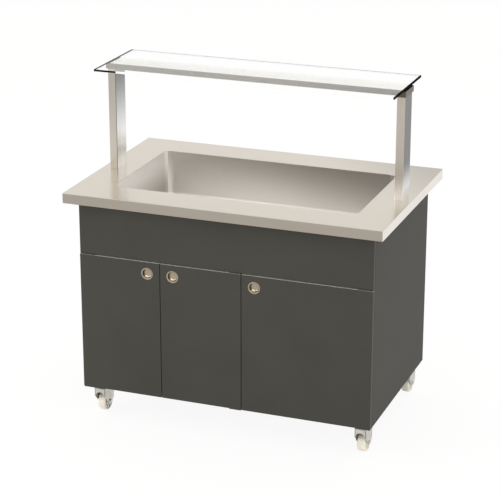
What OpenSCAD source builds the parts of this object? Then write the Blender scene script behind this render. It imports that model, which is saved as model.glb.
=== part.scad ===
// Heated buffet trolley. A stainless worktop with a heated well stands on a board cabinet
// with three doors and four casters. A lamp gantry with a glass shelf stands on the worktop.
// The origin is on the floor under the middle of the worktop, and the doors face -Y.

/* [Worktop] */
// Width of the worktop's rim at the left and right of the well
rim_side = 141; // [130:1:180]
// Width of the worktop's rim in front of the well and behind it
rim_front = 146; // [135:1:180]
// Height of the worktop's folded edge
top_edge = 39; // [32:1:55]
// Thickness of the worktop's stainless sheet
top_sheet = 1.5; // [1:0.1:2]
// Width of the return that is folded in under the edge
top_return = 20; // [10:1:28]

/* [Well] */
// Width of the well's opening, for three full-size food pans side by side
well_w = 958; // [900:2:980]
// Depth of the well's opening, front to back
well_d = 508; // [480:2:530]
// Depth of the well below the worktop
well_depth = 180; // [140:5:195]
// Radius of the well's upright corners
well_r = 33; // [20:1:60]
// Thickness of the tank's sheet
tank_sheet = 1.2; // [0.8:0.1:1.5]
// Thickness of the insulation round the tank
jacket_t = 25; // [15:1:30]
// Diameter of the tubular heating element
element_d = 8.5; // [6.5:0.5:10]
// Number of straight runs of the element, an even number
element_runs = 8; // [4:2:10]
// Pitch of the element's runs
element_pitch = 100; // [70:5:100]
// Length of the element's straight runs between the bends
element_run = 340; // [240:10:360]

/* [Drain] */
// Distance of the drain from the well's right-hand wall
drain_side = 52; // [45:1:58]
// Distance of the drain from the well's front wall
drain_front = 90; // [60:5:140]
// Diameter of the drain's flange in the tank
drain_flange_d = 60; // [50:1:64]
// Outside diameter of the drain's tail
drain_tail_d = 26; // [22:1:30]
// Bore of the drain
drain_bore_d = 20; // [16:1:20]
// Length of the drain valve's body
valve_h = 62; // [50:1:80]
// Length of the drain valve's lever, from its stem
lever_l = 75; // [50:1:90]

/* [Cabinet] */
// Overhang of the worktop past the cabinet's sides
over_side = 44; // [25:1:50]
// Overhang of the worktop past the doors and the back
over_front = 46; // [25:1:50]
// Height of the cabinet, from its underside to the worktop's edge
cab_h = 749; // [700:1:800]
// Thickness of the cabinet's boards
board = 19; // [16:1:22]
// Height of the fascia below the worktop
fascia_h = 204; // [204:1:240]
// Thickness of the fascia's board, flush with the carcass side of the doors
fascia_board = 16; // [12:1:19]
// Width of the gap between two doors
door_gap = 3; // [2.8:0.1:5]
// Height of the gap between the fascia and the doors
fascia_gap = 4; // [3.6:0.1:6]
// Gap between the doors' backs and the carcass
door_back_gap = 2.5; // [2.2:0.1:4]
// Width of the left door's bay
left_bay = 325.5; // [280:0.5:350]
// Width of the middle door's bay
middle_bay = 323; // [280:0.5:350]
// Height of the shelves above the cabinet's floor
shelf_up = 250; // [150:5:330]
// Gap left all round a shelf
shelf_gap = 1; // [0.5:0.1:3]
// Distance of a shelf's front edge behind the carcass front
shelf_setback = 25; // [10:1:60]
// Diameter of the shelf pins
shelf_pin_d = 5; // [4:0.5:7]

/* [Doors] */
// Diameter of the doors' pivot pins
pivot_d = 5; // [4:0.5:6]
// Distance of a pivot from the door's outer edge
pivot_in = 7; // [6:0.5:8]
// Distance of a pivot from the door's front face
pivot_back = 6; // [5:0.5:7]
// Thickness of the pivot plates
pivot_plate_t = 2; // [1.5:0.1:2.4]
// Depth of the pivot bores in the doors
pivot_bore = 14; // [10:1:20]
// Diameter of the recessed pulls
pull_d = 48; // [44:1:60]
// Diameter of a pull's cup
pull_cup_d = 37; // [32:1:40]
// Depth of a pull's cup
pull_depth = 13; // [8:1:14]
// Distance of a pull's centre from the door's free edge
pull_in = 49.5; // [40:0.5:70]
// Distance of a pull's centre below the door's top edge
pull_down = 45; // [36:1:80]

/* [Gantry] */
// Width of a post, as seen from the front
post_w = 32; // [25:1:40]
// Depth of a post
post_d = 86; // [70:1:90]
// Wall of a post
post_wall = 2; // [1.5:0.1:3]
// Height of the posts
post_h = 390.5; // [350:0.5:450]
// Distance of a post's outer face from the worktop's end
post_in = 33; // [30:1:50]
// Thickness of the posts' end plates
post_plate_t = 6; // [5:1:8]
// Height of the lamp hood
hood_h = 22.5; // [20:0.5:35]
// Depth of the lamp hood
hood_d = 106; // [98:1:130]
// Length by which the hood passes the posts
hood_past = 3; // [2:1:20]
// Thickness of the hood's sheet
hood_sheet = 1.2; // [1:0.1:1.5]
// Thickness of the glass shelf
glass_t = 8; // [6:1:10]
// Depth of the glass shelf
glass_d = 347; // [300:1:400]
// Distance of the glass's ends inside the hood's ends
glass_in = 6; // [0:1:40]
// Radius of the glass's corners
glass_r = 3; // [2:1:10]

/* [Lamps] */
// Number of heat lamps
lamp_count = 3; // [2:1:3]
// Length of a lamp's quartz tube
lamp_l = 270; // [200:5:280]
// Diameter of a lamp's quartz tube
lamp_d = 9; // [8:0.5:10]
// Pitch of the guard's cross wires
guard_pitch = 60; // [50:5:100]
// Diameter of the guard's wires
guard_d = 2.5; // [2:0.5:3]

/* [Controls] */
// Distance of the control box's middle from the cabinet's left end
controls_in = 146; // [120:2:200]
// Distance of the control box's middle below the cabinet's top
controls_down = 84; // [70:2:110]
// Width of the control plate
control_w = 132; // [132:1:160]
// Height of the control plate
control_h = 84; // [76:1:110]
// Diameter of the thermostat knob
knob_d = 38; // [30:1:44]
// Length of the thermostat knob
knob_l = 17; // [12:1:24]
// Width of a rocker switch's bezel
switch_w = 26; // [25:1:30]
// Height of a rocker switch's bezel
switch_h = 36; // [34:1:40]
// Tilt of a rocker at rest
rocker_tilt = 8; // [5:1:9]
// Bore of the cable gland
gland_bore_d = 9; // [6:0.5:11]
// Height of the cable gland above the cabinet's underside
gland_up = 70; // [50:5:150]

/* [Casters] */
// Height from the floor to the cabinet's underside
caster_h = 125; // [120:1:140]
// Diameter of the wheels
wheel_d = 75; // [60:1:78]
// Width of the wheels
wheel_w = 32; // [24:1:34]
// Diameter of the sleeve that a wheel turns on
sleeve_d = 12; // [10:1:15]
// Distance of the wheel's axle behind the swivel axis
caster_trail = 22; // [15:1:30]
// Distance of a caster's axis from the cabinet's side
caster_in_x = 48; // [48:1:80]
// Distance of a caster's axis from the cabinet's front or back
caster_in_y = 63; // [60:1:80]
// Side of a caster's square top plate
caster_plate_w = 60; // [56:1:60]
// Thickness of a caster's top plate
caster_plate_t = 3; // [2.5:0.5:5]
// Height of the fork's top above the floor
fork_top = 105; // [100:1:108]
// Thickness of the fork's sheet
fork_t = 2.5; // [2:0.5:3]
// Length of the fork's crown
fork_l = 82; // [76:1:86]

/* [Hidden] */
$fn = 64;

// Cuts run past the faces that they open by this much
cut = 1;
// Radial clearance of pins and shafts that turn
run_fit = 0.05;
// Gap between parts that move past each other
slip = 0.3;

// Overall sizes
top_w = well_w + 2 * rim_side;
top_d = well_d + 2 * rim_front;
cab_w = top_w - 2 * over_side;
cab_d = top_d - 2 * over_front;

// Heights
cab_z = caster_h;
edge_z = cab_z + cab_h;
top_z = edge_z + top_edge;
core_t = top_edge - 2 * top_sheet;
core_gap = 0.5;
core_z = top_z - top_sheet - core_t;
fascia_z = edge_z - fascia_h;
floor_z = cab_z + board;

// Carcass
half_w = cab_w / 2;
half_d = cab_d / 2;
inner_x = half_w - board;
door_y = -half_d;
door_back = door_y + board;
carcass_y = door_back + door_back_gap;
back_y = half_d - board;
plate_air = (fascia_gap - pivot_plate_t) / 2;
cupboard_z = fascia_z - plate_air;
door_top = fascia_z - fascia_gap;
door_bottom = cab_z + plate_air;
door_split_1 = -half_w + left_bay;
door_split_2 = door_split_1 + middle_bay;
partition_x0 = door_split_2 - board / 2;
partition_x1 = door_split_2 + board / 2;
shelf_z = floor_z + shelf_up;
shelf_y = carcass_y + shelf_setback;
shelf_pin_l = 16;
shelf_pin_in = 40;

// Doors
left_pin = -half_w + pivot_in;
middle_pin = door_split_2 - door_gap / 2 - pivot_in;
right_pin = half_w - pivot_in;
plate_gap = 1;
pivot_seat = caster_in_y - caster_plate_w / 2 - board - door_back_gap - plate_gap;
pivot_seat_l = 40;
pivot_eye = 6;
pivot_front = 1;
pivot_end = 1;
catch_w = 40;
catch_d = 14;
catch_h = 13;
strike_t = 1;
catch_y = door_back + strike_t + slip;
strike_h = 12;
catch_in = 42;
left_catch = door_split_1 - catch_in;
middle_catch = door_split_1 + catch_in;
right_catch = partition_x1 + catch_in;
pull_wall = 1.2;
pull_rim_t = 1.5;
pull_bend = 3;
pull_edge = 1;
pull_r = pull_cup_d / 2;
left_pull_x = door_split_1 - door_gap / 2 - pull_in;
middle_pull_x = door_split_1 + door_gap / 2 + pull_in;
right_pull_x = door_split_2 + door_gap / 2 + pull_in;
pull_z = door_top - pull_down;

// Well
tank_z1 = top_z - top_sheet;
tank_floor = top_z - well_depth;
tank_z0 = tank_floor - tank_sheet;
element_z = tank_z0 - slip - element_d / 2;
jacket_z1 = element_z - element_d / 2 - slip;
jacket_z0 = cupboard_z + board;
element_x = element_pitch * (element_runs - 1) / 2;
jacket_in_x = well_w / 2 + tank_sheet + slip;
jacket_in_y = well_d / 2 + tank_sheet + slip;
drain_x = well_w / 2 - drain_side;
drain_y = -well_d / 2 + drain_front;
drain_flange_t = 2;
terminal_l = 12;
element_end = jacket_in_y + jacket_t + terminal_l;
tail_out = 12;
tail_low = cupboard_z - tail_out;
valve_r = 17;
valve_spout_r = drain_tail_d / 2 - 1;
valve_gap = 1;
valve_socket = 12;
valve_z1 = tail_low + valve_socket;
valve_z0 = valve_z1 - valve_h;
stem_z = valve_z0 + valve_h / 2;
stem_r = 4;
stem_in = 2;
gland_boss_r = 9;
gland_boss_l = 9;
lever_t = 3;
lever_w = 14;
strainer_hole = 4;
strainer_pitch = 5.5;

// Gantry
post_x = top_w / 2 - post_in - post_w / 2;
hood_z = top_z + post_h;
hood_x = top_w / 2 - post_in + hood_past;
glass_z = hood_z + hood_h;
bolt_r = 4;
bolt_fit = 0.1;
bolt_hole_r = bolt_r + bolt_fit;
bolt_head_r = 6.5;
bolt_head_h = 5;
bolt_pitch = 44;
clamp_w = 30;
clamp_l = 76;
clamp_t = 5;
pocket_gap = 1;
pocket_h = clamp_t + bolt_head_h + pocket_gap;
bay_in = 15;
lamp_bay = post_x - post_w / 2 - bay_in;
hood_lip = 10;
bay_y = hood_d / 2 - hood_lip;
reflector_t = 0.8;
reflector_top_w = 30;
reflector_tab = 2.5;
reflector_leg = 5;
reflector_y = hood_d / 2 - hood_sheet - slip - reflector_tab;
fold_in = 0.5;
guard_rest = 3;
guard_y = bay_y + guard_rest;
guard_end = 20;
guard_sink = 0.6;
lamp_pitch = 2 * lamp_bay / lamp_count;
lamp_drop = 7;
lamp_z = hood_z + hood_sheet + guard_d + lamp_drop;
holder_w = 12;
holder_l = 14;
holder_drop = 5;
lamp_pin_r = 3;
lamp_pin_l = 8;

// Controls
box_x = -half_w + controls_in;
box_z = edge_z - controls_down;
box_sheet = 1.2;
box_wall_in = 9;
box_depth = 45;
plate_y = half_d + box_sheet;
knob_side = 32;
power_side = 12;
lamp_switch_side = 46;
knob_x = box_x + knob_side;
knob_y = plate_y + slip;
power_x = box_x - power_side;
lamp_switch_x = box_x - lamp_switch_side;
spindle_r = 3;
spindle_l = 16;
spindle_hole_r = 4;
spindle_in_knob = 2;
knob_skirt_h = 4;
knob_skirt_w = 4;
knob_bar_w = 6;
knob_bar_in = 5;
knob_bar_h = 2;
knob_mark_w = 1.2;
knob_mark_in = 2;
knob_mark_deep = 1;
thermostat_w = 34;
thermostat_l = 28;
bezel_t = 2;
switch_body_in = 2.2;
switch_wall = 2;
switch_body_l = 22;
switch_fit = 0.1;
rocker_pin_r = 1.5;
rocker_pin_l = 1;
rocker_pin_end = 0.2;
rocker_end_gap = 1.2;
rocker_back = 6;
rocker_front = 4;
rocker_dip = 1.8;
rocker_taper = 1;
rocker_y = plate_y;
gland_x = box_x;
gland_z = cab_z + gland_up;
gland_tail_r = 8;
gland_tail_out = 6;
gland_nut_r = 13;
gland_nut_h = 7;
gland_cap_r = 10.5;
gland_cap_h = 12;
locknut_h = 5;

// Casters
caster_x = half_w - caster_in_x;
caster_y = half_d - caster_in_y;
fork_gap = 3;
fork_inner = wheel_w + 2 * fork_gap;
fork_outer = fork_inner + 2 * fork_t;
crown_mid = 15;
crown_front = crown_mid - fork_l / 2;
crown_rear = crown_mid + fork_l / 2;
apron_h = 14;
arch_in = 1;
arch_r = fork_inner / 2 - arch_in;
arch_z = fork_top - fork_t - apron_h - arch_r;
plate_corner_r = 5;
race_r = 22;
race_h = 6;
race_neck_r = 19;
kingpin_r = 6;
kingpin_head_r = 9;
kingpin_head_h = 4;
axle_r = 4;
axle_z = wheel_d / 2;
axle_boss_r = 12;
leg_round_r = 14;
leg_round_up = 12;
bolt_hex_r = 7.5;
bolt_hex_h = 5;
nut_h = 6;
bolt_end = 2;
hub_out = 1;
hub_wall = 5;
hub_taper = 2;
web_in = 4;
tread_w = 9;
tread_flat = 2;
tread_round = 3;
screw_r = 3;
screw_pitch = 42;
screw_head_r = 5;
screw_head_h = 3;
screw_l = 14;

steel = [0.78, 0.76, 0.72];
zinc = [0.74, 0.74, 0.71];
charcoal = [0.27, 0.27, 0.25];
cream = [0.93, 0.92, 0.88];

// A box given by its two corners on each axis
module block(x0, x1, y0, y1, z0, z1)
  translate([x0, y0, z0]) cube([x1 - x0, y1 - y0, z1 - z0]);

// A box centred on the Z axis of the model
module slab(w, d, z0, z1) block(-w / 2, w / 2, -d / 2, d / 2, z0, z1);

// A rectangle with round corners
module rounded(w, d, r) {
  square([w - 2 * r, d], center = true);
  square([w, d - 2 * r], center = true);
  for (sx = [-1, 1], sy = [-1, 1])
    translate([sx * (w / 2 - r), sy * (d / 2 - r)]) circle(r);
}

// A list of points in the opposite order
function turned_round(points) = [for (i = [len(points) - 1 : -1 : 0]) points[i]];

// An upright prism on a rounded rectangle that is wider than the well by grow all round
module well_prism(grow, z0, z1)
  translate([0, 0, z0]) linear_extrude(z1 - z0)
    rounded(well_w + 2 * grow, well_d + 2 * grow, well_r + grow);

// A cylinder that lies along +Y from a point
module along_y(x, y0, z, r, l, sides = 64)
  translate([x, y0, z]) rotate([-90, 0, 0]) cylinder(r = r, h = l, $fn = sides);

// The places of the four bolts that hold the posts
module at_bolts(z)
  for (sx = [-1, 1], sy = [-1, 1])
    translate([sx * post_x, sy * bolt_pitch / 2, z]) children();

module worktop() color(steel)
  difference() {
    slab(top_w, top_d, edge_z, top_z);
    slab(top_w - 2 * top_sheet, top_d - 2 * top_sheet, edge_z + top_sheet, top_z - top_sheet);
    slab(top_w - 2 * top_return, top_d - 2 * top_return, edge_z - cut, edge_z + top_sheet + cut);
    well_prism(0, top_z - top_sheet - cut, top_z + cut);
    at_bolts(top_z - top_sheet - cut) cylinder(r = bolt_hole_r, h = top_sheet + 2 * cut);
  }

module worktop_core() color("burlywood")
  difference() {
    slab(top_w - 2 * (top_sheet + core_gap), top_d - 2 * (top_sheet + core_gap), core_z, core_z + core_t);
    slab(2 * jacket_in_x, 2 * jacket_in_y, core_z - cut, core_z + core_t + cut);
    at_bolts(core_z - cut) cylinder(r = bolt_hole_r, h = core_t + 2 * cut);
    for (sx = [-1, 1])
      translate([sx * post_x, 0, 0])
        slab(clamp_w + 2 * pocket_gap, clamp_l + 2 * pocket_gap, core_z - cut, core_z + pocket_h);
  }

module well_tank() color(steel)
  difference() {
    well_prism(tank_sheet, tank_z0, tank_z1);
    well_prism(0, tank_floor, tank_z1 + cut);
    translate([drain_x, drain_y, tank_z0 - cut])
      cylinder(d = drain_tail_d + 2 * run_fit, h = tank_sheet + 2 * cut);
  }

module drain_outlet() color(steel)
  translate([drain_x, drain_y, 0]) difference() {
    union() {
      translate([0, 0, tank_floor]) cylinder(d = drain_flange_d, h = drain_flange_t);
      translate([0, 0, tail_low]) cylinder(d = drain_tail_d, h = tank_floor - tail_low);
    }
    translate([0, 0, tail_low - cut]) cylinder(d = drain_bore_d, h = tank_floor - tail_low + cut);
    for (i = [-1, 0, 1], j = [-1, 0, 1])
      translate([i * strainer_pitch, j * strainer_pitch, tank_floor - cut])
        cylinder(d = strainer_hole, h = drain_flange_t + 2 * cut);
  }

module drain_valve() color("tan")
  difference() {
    union() {
      translate([drain_x, drain_y, valve_z0]) cylinder(r = valve_spout_r, h = valve_h / 2);
      translate([drain_x, drain_y, stem_z - valve_r])
        cylinder(r = valve_r, h = valve_z1 - stem_z + valve_r);
      along_y(drain_x, drain_y - valve_r - gland_boss_l, stem_z, gland_boss_r, gland_boss_l + valve_r);
    }
    translate([drain_x, drain_y, valve_z0 - cut]) cylinder(d = drain_bore_d, h = valve_h + 2 * cut);
    translate([drain_x, drain_y, tail_low]) cylinder(d = drain_tail_d, h = valve_socket + cut);
    along_y(drain_x, drain_y - valve_r - gland_boss_l - cut, stem_z, stem_r + run_fit,
            gland_boss_l + valve_r);
  }

module drain_lever() color("firebrick") {
  lever_y = drain_y - valve_r - gland_boss_l - slip - lever_t;
  along_y(drain_x, lever_y, stem_z, stem_r, lever_t + slip + gland_boss_l + stem_in);
  translate([drain_x - lever_l, lever_y, stem_z - lever_w / 2]) cube([lever_l, lever_t, lever_w]);
  along_y(drain_x, lever_y, stem_z, lever_w / 2, lever_t);
  along_y(drain_x - lever_l, lever_y, stem_z, lever_w / 2, lever_t);
}

module heating_element() color("dimgray") {
  for (i = [0 : element_runs - 1])
    along_y(element_x - i * element_pitch, -element_run / 2, element_z, element_d / 2, element_run);
  for (i = [0 : element_runs - 2])
    translate([element_x - (i + 0.5) * element_pitch, (i % 2 == 0 ? -1 : 1) * element_run / 2, element_z])
      rotate([0, 0, i % 2 == 0 ? 180 : 0])
        rotate_extrude(angle = 180) translate([element_pitch / 2, 0]) circle(d = element_d);
  for (sx = [-1, 1])
    along_y(sx * element_x, element_run / 2, element_z, element_d / 2, element_end - element_run / 2);
}

// Five slabs: one under the tank, and one along each of its sides from that slab up
module well_jacket() color("goldenrod") {
  out_x = jacket_in_x + jacket_t;
  out_y = jacket_in_y + jacket_t;
  difference() {
    slab(2 * out_x, 2 * out_y, jacket_z0, jacket_z1);
    translate([drain_x, drain_y, jacket_z0 - cut])
      cylinder(d = drain_tail_d + 2 * slip, h = jacket_z1 - jacket_z0 + 2 * cut);
  }
  block(-out_x, out_x, -out_y, -jacket_in_y, jacket_z1, core_z);
  difference() {
    block(-out_x, out_x, jacket_in_y, out_y, jacket_z1, core_z);
    for (sx = [-1, 1])
      block(sx * element_x - element_d, sx * element_x + element_d, jacket_in_y - cut, out_y + cut,
            jacket_z1 - cut, element_z + element_d);
  }
  for (sx = [-1, 1])
    block(sx > 0 ? jacket_in_x : -out_x, sx > 0 ? out_x : -jacket_in_x, -jacket_in_y, jacket_in_y,
          jacket_z1, core_z);
}

// A pair of shelf pins in the face at x of an upright board, half in the board
module shelf_pin_pair(x)
  for (y = [shelf_y + shelf_pin_in, back_y - shelf_pin_in])
    translate([x, y, shelf_z - shelf_pin_d / 2]) rotate([0, 90, 0])
      cylinder(d = shelf_pin_d, h = shelf_pin_l, center = true);

module side_panel(side) color(charcoal)
  difference() {
    block(side > 0 ? inner_x : -half_w, side > 0 ? half_w : -inner_x, carcass_y, half_d, cab_z, core_z);
    shelf_pin_pair(side * inner_x);
  }

module left_side_panel() side_panel(-1);

module right_side_panel() side_panel(1);

module back_panel() color(charcoal)
  difference() {
    block(-inner_x, inner_x, back_y, half_d, cab_z, core_z);
    block(box_x - control_w / 2 + box_wall_in - slip, box_x + control_w / 2 - box_wall_in + slip,
          back_y - cut, half_d + cut,
          box_z - control_h / 2 + box_wall_in - slip, box_z + control_h / 2 - box_wall_in + slip);
    along_y(gland_x, back_y - cut, gland_z, gland_tail_r, board + 2 * cut);
  }

module at_casters()
  for (sx = [-1, 1], sy = [-1, 1]) translate([sx * caster_x, sy * caster_y, 0]) children();

module at_screws(z)
  for (sx = [-1, 1], sy = [-1, 1])
    translate([sx * screw_pitch / 2, sy * screw_pitch / 2, z]) children();

module bottom_panel() color(charcoal)
  difference() {
    block(-inner_x, inner_x, carcass_y, back_y, cab_z, floor_z);
    at_casters() at_screws(cab_z - cut) cylinder(r = screw_r, h = screw_l + cut);
  }

module cupboard_top() color(charcoal)
  difference() {
    block(-inner_x, inner_x, door_back, back_y, cupboard_z, cupboard_z + board);
    translate([drain_x, drain_y, cupboard_z - cut])
      cylinder(r = valve_r + valve_gap, h = board + 2 * cut);
  }

module front_fascia() color(charcoal)
  block(-half_w, half_w, door_back - fascia_board, door_back, fascia_z, core_z);

module partition() color(charcoal)
  difference() {
    block(partition_x0, partition_x1, carcass_y, back_y, floor_z, cupboard_z);
    shelf_pin_pair(partition_x0);
    shelf_pin_pair(partition_x1);
  }

module left_shelf() color(charcoal)
  block(-inner_x + shelf_gap, partition_x0 - shelf_gap, shelf_y, back_y - shelf_gap,
        shelf_z, shelf_z + board);

module right_shelf() color(charcoal)
  block(partition_x1 + shelf_gap, inner_x - shelf_gap, shelf_y, back_y - shelf_gap,
        shelf_z, shelf_z + board);

module shelf_pins() color(zinc)
  for (x = [-inner_x, partition_x0, partition_x1, inner_x]) shelf_pin_pair(x);

// A pivot plate with its pin. It lies flat under a level board, starts at the upright board
// whose inner face is at x = face, and carries its pin in front of it at x = pin.
module pivot_plate(pin, face, z, up) {
  inward = pin > face ? -1 : 1;
  arm = pin - inward * pivot_eye;
  inside = face + inward * slip;
  fixing = face + inward * pivot_seat_l;
  block(min(arm, fixing), max(arm, fixing), door_y + pivot_front, carcass_y - slip, z, z + pivot_plate_t);
  block(min(inside, fixing), max(inside, fixing), door_back, carcass_y + pivot_seat, z, z + pivot_plate_t);
  translate([pin, door_y + pivot_back, up ? z : z - pivot_bore + pivot_end])
    cylinder(d = pivot_d, h = pivot_plate_t + pivot_bore - pivot_end);
}

module pivot_pair(pin, face) {
  pivot_plate(pin, face, cab_z - pivot_plate_t, true);
  pivot_plate(pin, face, cupboard_z - pivot_plate_t, false);
}

module door_pivots() color(zinc) {
  pivot_pair(left_pin, -inner_x);
  pivot_pair(middle_pin, partition_x0);
  pivot_pair(right_pin, inner_x);
}

module door_catches() color("gainsboro")
  for (x = [left_catch, middle_catch, right_catch])
    block(x - catch_w / 2, x + catch_w / 2, catch_y, catch_y + catch_d, cupboard_z - catch_h, cupboard_z);

module strike(x) color(zinc)
  block(x - catch_w / 2, x + catch_w / 2, door_back, door_back + strike_t,
        door_top - strike_h, door_top);

module left_strike() strike(left_catch);

module middle_strike() strike(middle_catch);

module right_strike() strike(right_catch);

module door(x0, x1, pin, pull_x) color(charcoal)
  difference() {
    block(x0, x1, door_y, door_back, door_bottom, door_top);
    for (z = [door_bottom - cut, door_top - pivot_bore])
      translate([pin, door_y + pivot_back, z]) cylinder(d = pivot_d + 2 * run_fit, h = pivot_bore + cut);
    along_y(pull_x, door_y - cut, pull_z, pull_r + pull_wall, pull_depth + pull_wall + cut);
  }

module left_door() door(-half_w, door_split_1 - door_gap / 2, left_pin, left_pull_x);

module middle_door()
  door(door_split_1 + door_gap / 2, door_split_2 - door_gap / 2, middle_pin, middle_pull_x);

module right_door() door(door_split_2 + door_gap / 2, half_w, right_pin, right_pull_x);

// A recessed pull: a cup with a flat rim, turned about the line through the door
module pull(x) color(steel)
  translate([x, door_y, pull_z]) rotate([-90, 0, 0]) rotate_extrude()
    polygon([
      [0, pull_depth], [pull_r - pull_edge - pull_bend, pull_depth],
      [pull_r - pull_edge, pull_depth - pull_bend], [pull_r, 0], [pull_r + pull_edge, -pull_rim_t],
      [pull_d / 2 - pull_edge, -pull_rim_t], [pull_d / 2, -pull_rim_t + pull_edge], [pull_d / 2, 0],
      [pull_r + pull_wall, 0], [pull_r + pull_wall, pull_depth - pull_bend],
      [pull_r - pull_bend, pull_depth + pull_wall], [0, pull_depth + pull_wall]
    ]);

module left_pull() pull(left_pull_x);

module middle_pull() pull(middle_pull_x);

module right_pull() pull(right_pull_x);

module post(side) color(steel)
  translate([side * post_x, 0, 0]) difference() {
    slab(post_w, post_d, top_z, hood_z);
    slab(post_w - 2 * post_wall, post_d - 2 * post_wall, top_z + post_plate_t, hood_z - post_plate_t);
    for (sy = [-1, 1]) translate([0, sy * bolt_pitch / 2, top_z - cut]) {
      cylinder(r = bolt_r, h = post_plate_t + 2 * cut);
      translate([0, 0, post_h - post_plate_t]) cylinder(r = bolt_r, h = post_plate_t + 2 * cut);
    }
  }

module left_post() post(-1);

module right_post() post(1);

module post_clamp_plates() color(zinc)
  for (sx = [-1, 1]) translate([sx * post_x, 0, 0]) difference() {
    slab(clamp_w, clamp_l, core_z + pocket_h - clamp_t, core_z + pocket_h);
    for (sy = [-1, 1]) translate([0, sy * bolt_pitch / 2, core_z])
      cylinder(r = bolt_hole_r, h = pocket_h + cut);
  }

module gantry_bolts() color(zinc) {
  at_bolts(core_z + pocket_h - clamp_t) {
    cylinder(r = bolt_r, h = core_t - pocket_h + clamp_t + top_sheet + post_plate_t);
    translate([0, 0, -bolt_head_h]) cylinder(r = bolt_head_r, h = bolt_head_h, $fn = 6);
  }
  at_bolts(hood_z - post_plate_t) {
    cylinder(r = bolt_r, h = post_plate_t + hood_sheet);
    translate([0, 0, post_plate_t + hood_sheet]) cylinder(r = bolt_head_r, h = bolt_head_h, $fn = 6);
  }
}

module lamp_hood() color(steel)
  difference() {
    slab(2 * hood_x, hood_d, hood_z, glass_z);
    slab(2 * (hood_x - hood_sheet), hood_d - 2 * hood_sheet, hood_z + hood_sheet, glass_z - hood_sheet);
    slab(2 * lamp_bay, 2 * bay_y, hood_z - cut, hood_z + hood_sheet + cut);
    at_bolts(hood_z - cut) cylinder(r = bolt_hole_r, h = hood_sheet + 2 * cut);
  }

// The reflector's folded section: a flat top, two slopes, two legs and a tab on the hood's floor
module lamp_reflector() color("whitesmoke") {
  low = hood_z + hood_sheet;
  high = glass_z - hood_sheet;
  out = reflector_y;
  half = [
    [reflector_top_w / 2, high], [out, low + reflector_leg], [out, low + reflector_t],
    [out + reflector_tab, low + reflector_t], [out + reflector_tab, low], [out - reflector_t, low],
    [out - reflector_t, low + reflector_leg - fold_in], [reflector_top_w / 2 - fold_in, high - reflector_t]
  ];
  other = [for (point = half) [-point.x, point.y]];
  translate([-lamp_bay, 0, 0]) rotate([90, 0, 90]) linear_extrude(2 * lamp_bay)
    polygon(concat(half, turned_round(other)));
}

module at_lamps()
  for (i = [0 : lamp_count - 1])
    translate([(i - (lamp_count - 1) / 2) * lamp_pitch, 0, lamp_z]) children();

module heat_lamps() color("mistyrose")
  at_lamps() rotate([0, 90, 0]) {
    translate([0, 0, -lamp_l / 2]) cylinder(d = lamp_d, h = lamp_l);
    translate([0, 0, -lamp_l / 2 - lamp_pin_l]) cylinder(r = lamp_pin_r, h = lamp_l + 2 * lamp_pin_l);
  }

module lamp_holders() color("white")
  at_lamps() for (sx = [-1, 1]) difference() {
    translate([sx * (lamp_l / 2 + holder_l / 2 + slip) - holder_l / 2, -holder_w / 2, -holder_drop])
      cube([holder_l, holder_w, glass_z - hood_sheet - reflector_t - lamp_z + holder_drop]);
    translate([sx * (lamp_l / 2), 0, 0]) rotate([0, sx * 90, 0])
      translate([0, 0, -cut]) cylinder(r = lamp_pin_r + run_fit, h = lamp_pin_l + 2 * cut);
  }

module lamp_guard() color(zinc) {
  rod_z = hood_z + hood_sheet + guard_d / 2;
  count = floor((lamp_bay - guard_end) / guard_pitch);
  for (i = [-count : count])
    along_y(i * guard_pitch, -guard_y, rod_z, guard_d / 2, 2 * guard_y);
  for (y = [-bay_y / 2, 0, bay_y / 2])
    translate([-count * guard_pitch, y, rod_z + guard_d * guard_sink]) rotate([0, 90, 0])
      cylinder(d = guard_d, h = 2 * count * guard_pitch);
}

module glass_shelf() color([0.85, 0.92, 0.9, 0.4])
  translate([0, 0, glass_z]) linear_extrude(glass_t)
    rounded(2 * (hood_x - glass_in), glass_d, glass_r);

// The opening of one rocker switch through the control plate
module switch_cut(x)
  block(x - switch_w / 2 + switch_body_in, x + switch_w / 2 - switch_body_in,
        half_d - box_depth, plate_y + cut,
        box_z - switch_h / 2 + switch_body_in, box_z + switch_h / 2 - switch_body_in);

module control_box() color(steel)
  difference() {
    union() {
      block(box_x - control_w / 2, box_x + control_w / 2, half_d, plate_y,
            box_z - control_h / 2, box_z + control_h / 2);
      block(box_x - control_w / 2 + box_wall_in, box_x + control_w / 2 - box_wall_in,
            half_d - box_depth, half_d,
            box_z - control_h / 2 + box_wall_in, box_z + control_h / 2 - box_wall_in);
    }
    block(box_x - control_w / 2 + box_wall_in + box_sheet, box_x + control_w / 2 - box_wall_in - box_sheet,
          half_d - box_depth - cut, half_d,
          box_z - control_h / 2 + box_wall_in + box_sheet, box_z + control_h / 2 - box_wall_in - box_sheet);
    switch_cut(power_x);
    switch_cut(lamp_switch_x);
    along_y(knob_x, half_d - cut, box_z, spindle_hole_r, box_sheet + 2 * cut);
  }

module thermostat() color("gainsboro")
  difference() {
    block(knob_x - thermostat_w / 2, knob_x + thermostat_w / 2, half_d - thermostat_l, half_d,
          box_z - thermostat_w / 2, box_z + thermostat_w / 2);
    along_y(knob_x, half_d - spindle_l, box_z, spindle_r + run_fit, spindle_l + cut);
  }

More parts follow.
